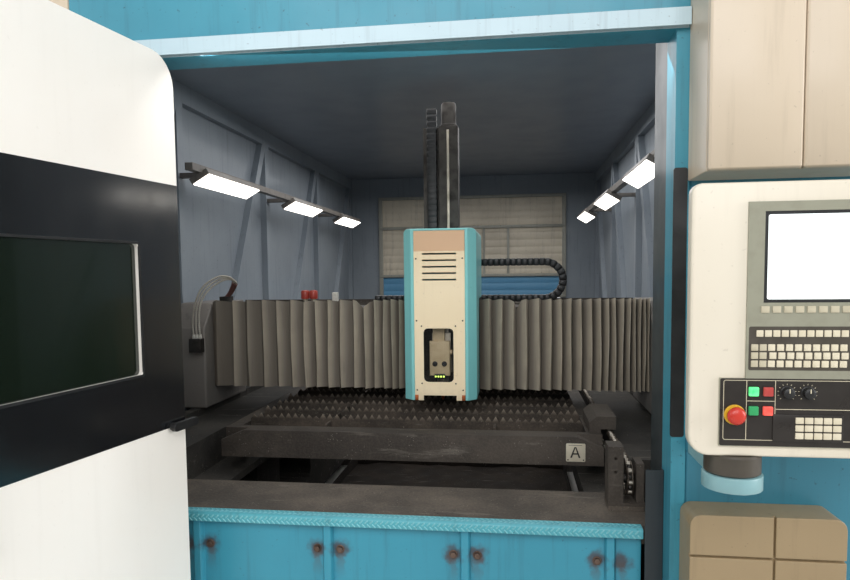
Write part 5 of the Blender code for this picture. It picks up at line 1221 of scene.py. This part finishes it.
def head_pieces():
    """The mast behind the hood, the hood with its window, and the cutting head inside."""
    column, band, rail = mast_forms()
    paint_node(DARK_STEEL, "carriage_saddle")
    build("stepped_mast", column, DARK_STEEL, "carriage", ("z_mast",), edge=0.002)
    build("mast_carrier", band, BLACK, "carriage", crease=50)
    build("mast_rail", rail, BRIGHT, "carriage")
    hood_pieces()
    rim = hole_band(rounded(CARRIAGE_X - 0.0850, CARRIAGE_X + 0.0755, 1.077, 1.343, 0.008),
                    rounded(CARRIAGE_X - 0.0705, CARRIAGE_X + 0.0605, 1.0905, 1.3265, 0.0195),
                    COVER_Y - 0.0016, COVER_Y + 0.0005)
    build("window_rim", rim, FACE, "carriage", edge=0.0005)
    corners = [(CARRIAGE_X + x, COVER_Y - 0.0014, z) for x in (-0.0790, 0.0695)
               for z in (1.3365, 1.0845)]
    sides = [(CARRIAGE_X + x, COVER_Y + 0.0002, z) for x in (-0.101, 0.101)
             for z in (1.055, 1.36, 1.63)]
    build("cover_screws", screw_form(0.0035).repeated(corners + sides), DARK_STEEL, "carriage")
    cheek = block((-0.0075, COVER_Y - 0.003, 0.0), (0.0075, COVER_Y + 0.0012, 0.024), 0.0012)
    cheeks = cheek.repeated([(CARRIAGE_X + x, 0, 1.0095) for x in (-0.1035, 0.1035)])
    build("notch_guides", cheeks, COPPER, "carriage")
    cutter_pieces()


def cutter_pieces():
    """The cutting head behind the window: a housing with two lens ports, and a strip of lights."""
    soft_copy("cutting_head", BRIGHT, 0.003)
    paint_node(COPPER, "cutting_nozzle")
    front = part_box("cutting_head")[0][1]
    back = front + 0.004
    housing = block((LENS_X - 0.046, front - 0.022, 1.110), (LENS_X + 0.046, back, 1.266), 0.006, 3)
    neck = block((0.082, front - 0.016, 1.262), (0.136, back, 1.324), 0.005, 3)
    boss = lathe([(0.0, 0.0), (0.011, 0.0), (0.011, 0.014), (0.0, 0.014)], 16, "X")
    lens_block = joined([housing, neck, boss.at(0.156, front - 0.006, 1.215)])
    build("lens_block", lens_block, LENS_HOUSING, "head", edge=0.001)
    port = lathe([(0.0, 0.0), (0.0105, 0.0), (0.0115, -0.001), (0.0115, 0.006), (0.009, 0.0075),
                  (0.0075, 0.004), (0.0, 0.004)], 20, "Y")
    ports = port.repeated([(LENS_X + x, front - 0.022, 1.1645) for x in (-0.021, 0.021)])
    build("lens_ports", ports, BLACK, "head")
    bar = block((LENS_X - 0.024, front - 0.026, 1.096), (LENS_X + 0.024, back, 1.120), 0.002)
    build("light_bar", bar, BLACK, "head")
    lamp = lathe([(0.0, 0.0), (0.0042, 0.0), (0.0040, 0.0022), (0.0026, 0.0040), (0.0, 0.0045)],
                 14, "Y")
    lamps = lamp.repeated([(LENS_X - 0.018 + 0.012 * n, front - 0.026, 1.108) for n in range(4)])
    build("head_lights", lamps, LED, "head")


# The console

def key_rows(left, right, top, columns, rows=1, width=0.0148, height=0.0150, pitch=0.0185,
             stagger=0.0):
    """Rows of rounded key caps that taper towards their tops; left and right are the middles of
    a row's end keys, and every other row is shifted by the stagger."""
    outer = rounded(-width / 2, width / 2, -height / 2, height / 2, 0.0011, 2)
    key = slab(outer, -0.0026, 0.0006, "XZ", 0.0007, 2)
    places = [(x + stagger * (row % 2), PANEL_Y, top - pitch * row) for row in range(rows)
              for x in np.linspace(left, right, columns)]
    return key.repeated(places)


def panel_plate(left, right, low, high, proud):
    """A thin plate with rounded corners that stands out of the console's panel."""
    return slab(rounded(left, right, low, high, 0.004), PANEL_Y - proud, PANEL_Y + 0.0002)


def outline_strips():
    """The control plate's thin pale outline with its dividers."""
    left, right, low, top = 0.9165, 1.3525, 1.1805, 1.3165
    front, back = PANEL_Y - 0.0006, PANEL_Y + 0.0004
    dividers = [block((x0, front, z0), (x1, back, z1))
                for x0, z0, x1, z1 in ((0.9648, low, 0.9662, top), (1.0265, 1.2405, 1.0279, top),
                                       (0.9655, 1.2693, 1.0272, 1.2707),
                                       (1.0272, 1.2510, right, 1.2524))]
    return joined([frame_round(left, right, low, top, 0.0013, front, back), *dividers])


def tick_form(x, z):
    """Dial marks: short bars in a ring of 270 degrees about a knob."""
    inner, outer = 0.0175, 0.0207
    bar = slab(rect(inner, outer, -0.0005, 0.0005), PANEL_Y - 0.0005, PANEL_Y + 0.0003)
    return joined([bar.turned("Y", -degrees).at(x, 0, z) for degrees in range(-45, 226, 27)])


def middle_of(node):
    """The x and z of a CAD node's middle."""
    low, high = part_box(node)
    return (low[0] + high[0]) / 2, (low[2] + high[2]) / 2


def knob_form():
    """A fluted knob: radius = r * (1 + 0.035 cos 16 a) below a smooth domed top."""
    angle = np.linspace(0, 2 * math.pi, 64, endpoint=False)
    stations = ((0.0148, 0.0004, 0.0), (0.0148, -0.002, 0.0), (0.0132, -0.003, 1.0),
                (0.0124, -0.0150, 1.0), (0.0112, -0.0164, 0.3), (0.0004, -0.0168, 0.0))
    rings = []
    for size, depth, flute in stations:
        radius = size * (1 + 0.035 * flute * np.cos(16 * angle))
        rings.append(np.stack([radius * np.cos(angle), np.full(64, depth),
                               radius * np.sin(angle)], axis=-1))
    return skin(rings)


BUTTONS = (
    ("button_start", "start_key", lit("green_bright", "#2fe06a", 1.0, "#8cf7ac", 0.01).material),
    ("button_stop", "stop_key", lit("red_dim", "#a43b38", 0.35, "#c85a52", 0.01).material),
    ("button_hold", "hold_key", lit("green_dim", "#2c8f55", 0.35, "#43b070", 0.01).material),
    ("button_reset", "reset_key", lit("red_bright", "#d8453b", 0.7, "#f27a6c", 0.01).material),
)


def control_pieces():
    """Knobs with pointers and dial marks, lit square buttons, and the ringed stop."""
    for name, body in (("knob_feed", "feed_knob"), ("knob_power", "power_knob")):
        x, z = middle_of(name)
        build("fluted_" + name, knob_form().at(x, PANEL_Y, z), BLACK, body, (name,), 50)
        pointer = block((-0.0011, -0.0176, 0.001), (0.0011, -0.0160, 0.0108), 0.0004)
        build("pointer_" + name, pointer.at(x, PANEL_Y, z), LINE, body)
        build("dial_" + name, tick_form(x, z), LINE, "pendant")
    half = 0.0103
    cap = slab(rounded(-half, half, -half, half, 0.0022, 3), -0.0072, 0.0012, "XZ", 0.0014, 3)
    hole = 0.0106
    bezel = frame_round(-hole, hole, -hole, hole, 0.0016, -0.0018, 0.0004, 0.0022)
    for name, body, finish in BUTTONS:
        x, z = middle_of(name)
        build("lit_" + name, cap.at(x, PANEL_Y, z), finish, body, (name,))
        build("rim_" + name, bezel.at(x, PANEL_Y, z), MARK_BLACK, "pendant")
    x, z = middle_of("e_stop")
    ring = lathe([(0.0132, -0.0004), (0.0132, 0.0042), (0.0145, 0.0050), (0.0215, 0.0044),
                  (0.0232, 0.0030), (0.0232, -0.0004), (0.0132, -0.0004)], 40, "Y")
    build("stop_ring", ring.at(x, PANEL_Y, z), YELLOW, "pendant")
    mushroom = lathe([(0.0, -0.0012), (0.0122, -0.0012), (0.0122, 0.0105), (0.0172, 0.0115),
                      (0.0203, 0.0150), (0.0205, 0.0180), (0.0188, 0.0225), (0.0140, 0.0262),
                      (0.0070, 0.0280), (0.0, 0.0284)], 40, "Y")
    build("stop_mushroom", mushroom.at(x, PANEL_Y, z), RED, "emergency_stop", ("e_stop",), 50)


def pendant_forms():
    """The console's housing: a rounded outline carried through its depth, and a plainer box
    behind it; and the drum that it swivels on."""
    corners = (((1.380, 1.185), 0.046, -90, 6), ((1.404, 1.743), 0.022, 0, 4),
               ((0.864, 1.743), 0.022, 90, 4), ((0.888, 1.185), 0.046, 180, 6))
    outline = np.vstack([arc(centre, radius, start, start + 90, steps)
                         for centre, radius, start, steps in corners])
    face = slab(outline, -0.470, -0.434, "XZ", 0.006, 4)
    rear = slab(rounded(0.887, 1.381, 1.139, 1.720, 0.020), -0.440, -0.360, "XZ", 0.008, 3)
    drum = lathe([(0.0, 1.0888), (0.058, 1.0888), (0.0632, 1.093), (0.0632, 1.134), (0.060, 1.1385),
                  (0.0, 1.1385)], 48).at(*SWIVEL, 0.0)
    return face + rear, drum


def keyboard_pieces():
    """The keys below the screen, the keyboard on its bed, and the field of keys for jogging."""
    soft = key_rows(1.0013, 1.1719, 1.4785, 8, width=0.0178)
    wide = key_rows(1.2030, 1.2480, 1.4785, 2, width=0.030)
    build("soft_keys", soft + wide, SOFT_KEY, "pendant")
    row = key_rows(0.991, 1.170, 1.4243, 11)
    rows = key_rows(1.0165, 1.168, 1.3925, 9, 3, stagger=0.003)
    build("keyboard_keys", row + rows, KEY, "pendant")
    shift = key_rows(0.9805, 0.9985, 1.3925, 2, 3, width=0.0150)
    build("shift_keys", shift, SOFT_KEY, "pendant")
    build("keyboard_bed", panel_plate(0.968, 1.300, 1.3405, 1.4400, 0.0003), DRUM, "pendant")
    numbers = key_rows(1.205, 1.285, 1.4243, 5) + key_rows(1.205, 1.285, 1.3925, 5, 3)
    build("number_keys", numbers, KEY, "pendant")
    field = slab(rounded(1.0225, 1.172, 1.178, 1.2400, 0.003), -0.0030, 0.0004, "XZ", 0.0008, 2)
    build("jog_field", field.at(0, PANEL_Y, 0), PLATE_DARK, "pendant")
    jog = key_rows(1.0791, 1.1583, 1.2270, 5, 3, 0.0174, 0.0143, 0.0175)
    build("jog_keys", jog.at(0, -0.0028, 0), KEY, "pendant")


def console_pieces():
    """The console: its housing and drum, the panel with its screen, the keys and the controls."""
    housing, drum = pendant_forms()
    build("rounded_pendant", housing, PENDANT, "pendant", ("pendant_housing",))
    build("swivel_drum", drum, DRUM, "pendant")
    paint_node(BEZEL, "console_panel")
    build("control_plate", panel_plate(0.908, 1.360, 1.166, 1.3215, 0.00035), PLATE_DARK, "pendant")
    build("plate_outline", outline_strips(), LINE, "pendant")
    screen = slab(rounded(1.0052, 1.2632, 1.5012, 1.6908, 0.004), -0.4752, -0.4740)
    build("screen_light", screen, SCREEN_LIGHT, "pendant")
    paint_node(BLACK, "console_screen")
    keyboard_pieces()
    control_pieces()


# The picture: floor, light and the photograph's viewing angle

LAMPS = (                                   # place, target, width, height and watts
    ("front_light", (0.2, -5.0, 4.2), (0.1, 0.2, 1.2), 5.0, 3.2, 206),
    ("door_light", (8.0, -2.0, 2.9), (-0.8, -0.6, 1.3), 3.0, 3.0, 340),
    ("side_light", (-4.5, -2.5, 3.0), (0.0, 0.2, 1.1), 3.0, 2.4, 60),
    ("head_light", (0.2, -0.08, 2.19), (0.1, 0.9, 1.15), 1.4, 0.2, 3.4),
    ("cabin_light", (0.1, 2.3, 2.5), (0.1, 2.2, 0.0), 2.0, 3.6, 42),
)


def floor():
    """A wide pale floor that is no part of the machine."""
    data = mesh_of("studio_floor", block((-14.0, -14.0, -0.02), (14.0, 14.0, 0.0)))
    ground = bpy.data.objects.new("studio_floor", data)
    bpy.context.scene.collection.objects.link(ground)
    paint = Paint("floor_pale", "#d9d7d2", 0.7)
    paint.tint(paint.noise(1.5, 4).fade(0.3, 0.8) * 0.3, "#cfccc6")
    data.materials.append(paint.material)


def lamps():
    """Soft rectangular lamps, each aimed at its target."""
    for name, place, target, wide, tall, watts in LAMPS:
        data = bpy.data.lights.new(name, "AREA")
        data.shape = "RECTANGLE"
        data.size, data.size_y, data.energy = wide, tall, watts
        lamp = bpy.data.objects.new(name, data)
        bpy.context.scene.collection.objects.link(lamp)
        aim(lamp, place, target)


def air():
    """A pale backdrop for the camera, for gloss and for glass, and a weaker even light on all
    surfaces."""
    world = bpy.data.worlds.new("studio_air")
    bpy.context.scene.world = world
    world.use_nodes = True
    tree = world.node_tree
    shown = tree.nodes["Background"]
    soft = tree.nodes.new("ShaderNodeBackground")
    shown.inputs["Color"].default_value = rgb("#c9ccce")
    soft.inputs["Color"].default_value = rgb("#f2f4f6")
    soft.inputs["Strength"].default_value = 0.32
    rays = tree.nodes.new("ShaderNodeLightPath")
    mix = tree.nodes.new("ShaderNodeMixShader")
    seen = rays.outputs["Is Camera Ray"]
    for other in ("Is Glossy Ray", "Is Transmission Ray"):
        most = tree.nodes.new("ShaderNodeMath")
        most.operation = "MAXIMUM"
        tree.links.new(seen, most.inputs[0])
        tree.links.new(rays.outputs[other], most.inputs[1])
        seen = most.outputs[0]
    tree.links.new(seen, mix.inputs[0])
    tree.links.new(soft.outputs[0], mix.inputs[1])
    tree.links.new(shown.outputs[0], mix.inputs[2])
    tree.links.new(mix.outputs[0], tree.nodes["World Output"].inputs["Surface"])


def aim(item, place, target):
    """Stand an item at a place with its -z axis towards the target."""
    away = np.array(place) - np.array(target)
    away /= np.linalg.norm(away)
    right = np.cross((0, 0, 1), away)
    right /= np.linalg.norm(right)
    set_axes(item, place, right, np.cross(away, right), away)


def set_axes(item, place, right, up, away):
    """Stand an item at a place with its x, y and z axes along right, up and away."""
    grid = np.eye(4)
    grid[:3, :4] = np.column_stack([right, up, away, place])
    item.matrix_world = Matrix(grid.tolist())


def camera():
    """Looks along f = (-sin yaw cos pitch, cos yaw cos pitch, -sin pitch), rolled about f."""
    yaw, pitch, roll = (math.radians(value) for value in (YAW, PITCH, ROLL))
    ahead = np.array([-math.sin(yaw) * math.cos(pitch), math.cos(yaw) * math.cos(pitch),
                      -math.sin(pitch)])
    level = np.array([math.cos(yaw), math.sin(yaw), 0.0])
    over = np.cross(level, ahead)
    right = math.cos(roll) * level + math.sin(roll) * over
    up = -math.sin(roll) * level + math.cos(roll) * over
    data = bpy.data.cameras.new("photo_camera")
    data.lens, data.sensor_width, data.shift_y = LENS_MM, 36.0, SHIFT_UP
    view = bpy.data.objects.new("photo_camera", data)
    bpy.context.scene.collection.objects.link(view)
    set_axes(view, EYE, right, up, -ahead)
    bpy.context.scene.camera = view


door_pieces()
cabin_pieces()
lamp_pieces()
pallet_pieces()
gantry_pieces()
head_pieces()
console_pieces()
bpy.context.scene.view_settings.view_transform = "Standard"
floor()
lamps()
air()
camera()
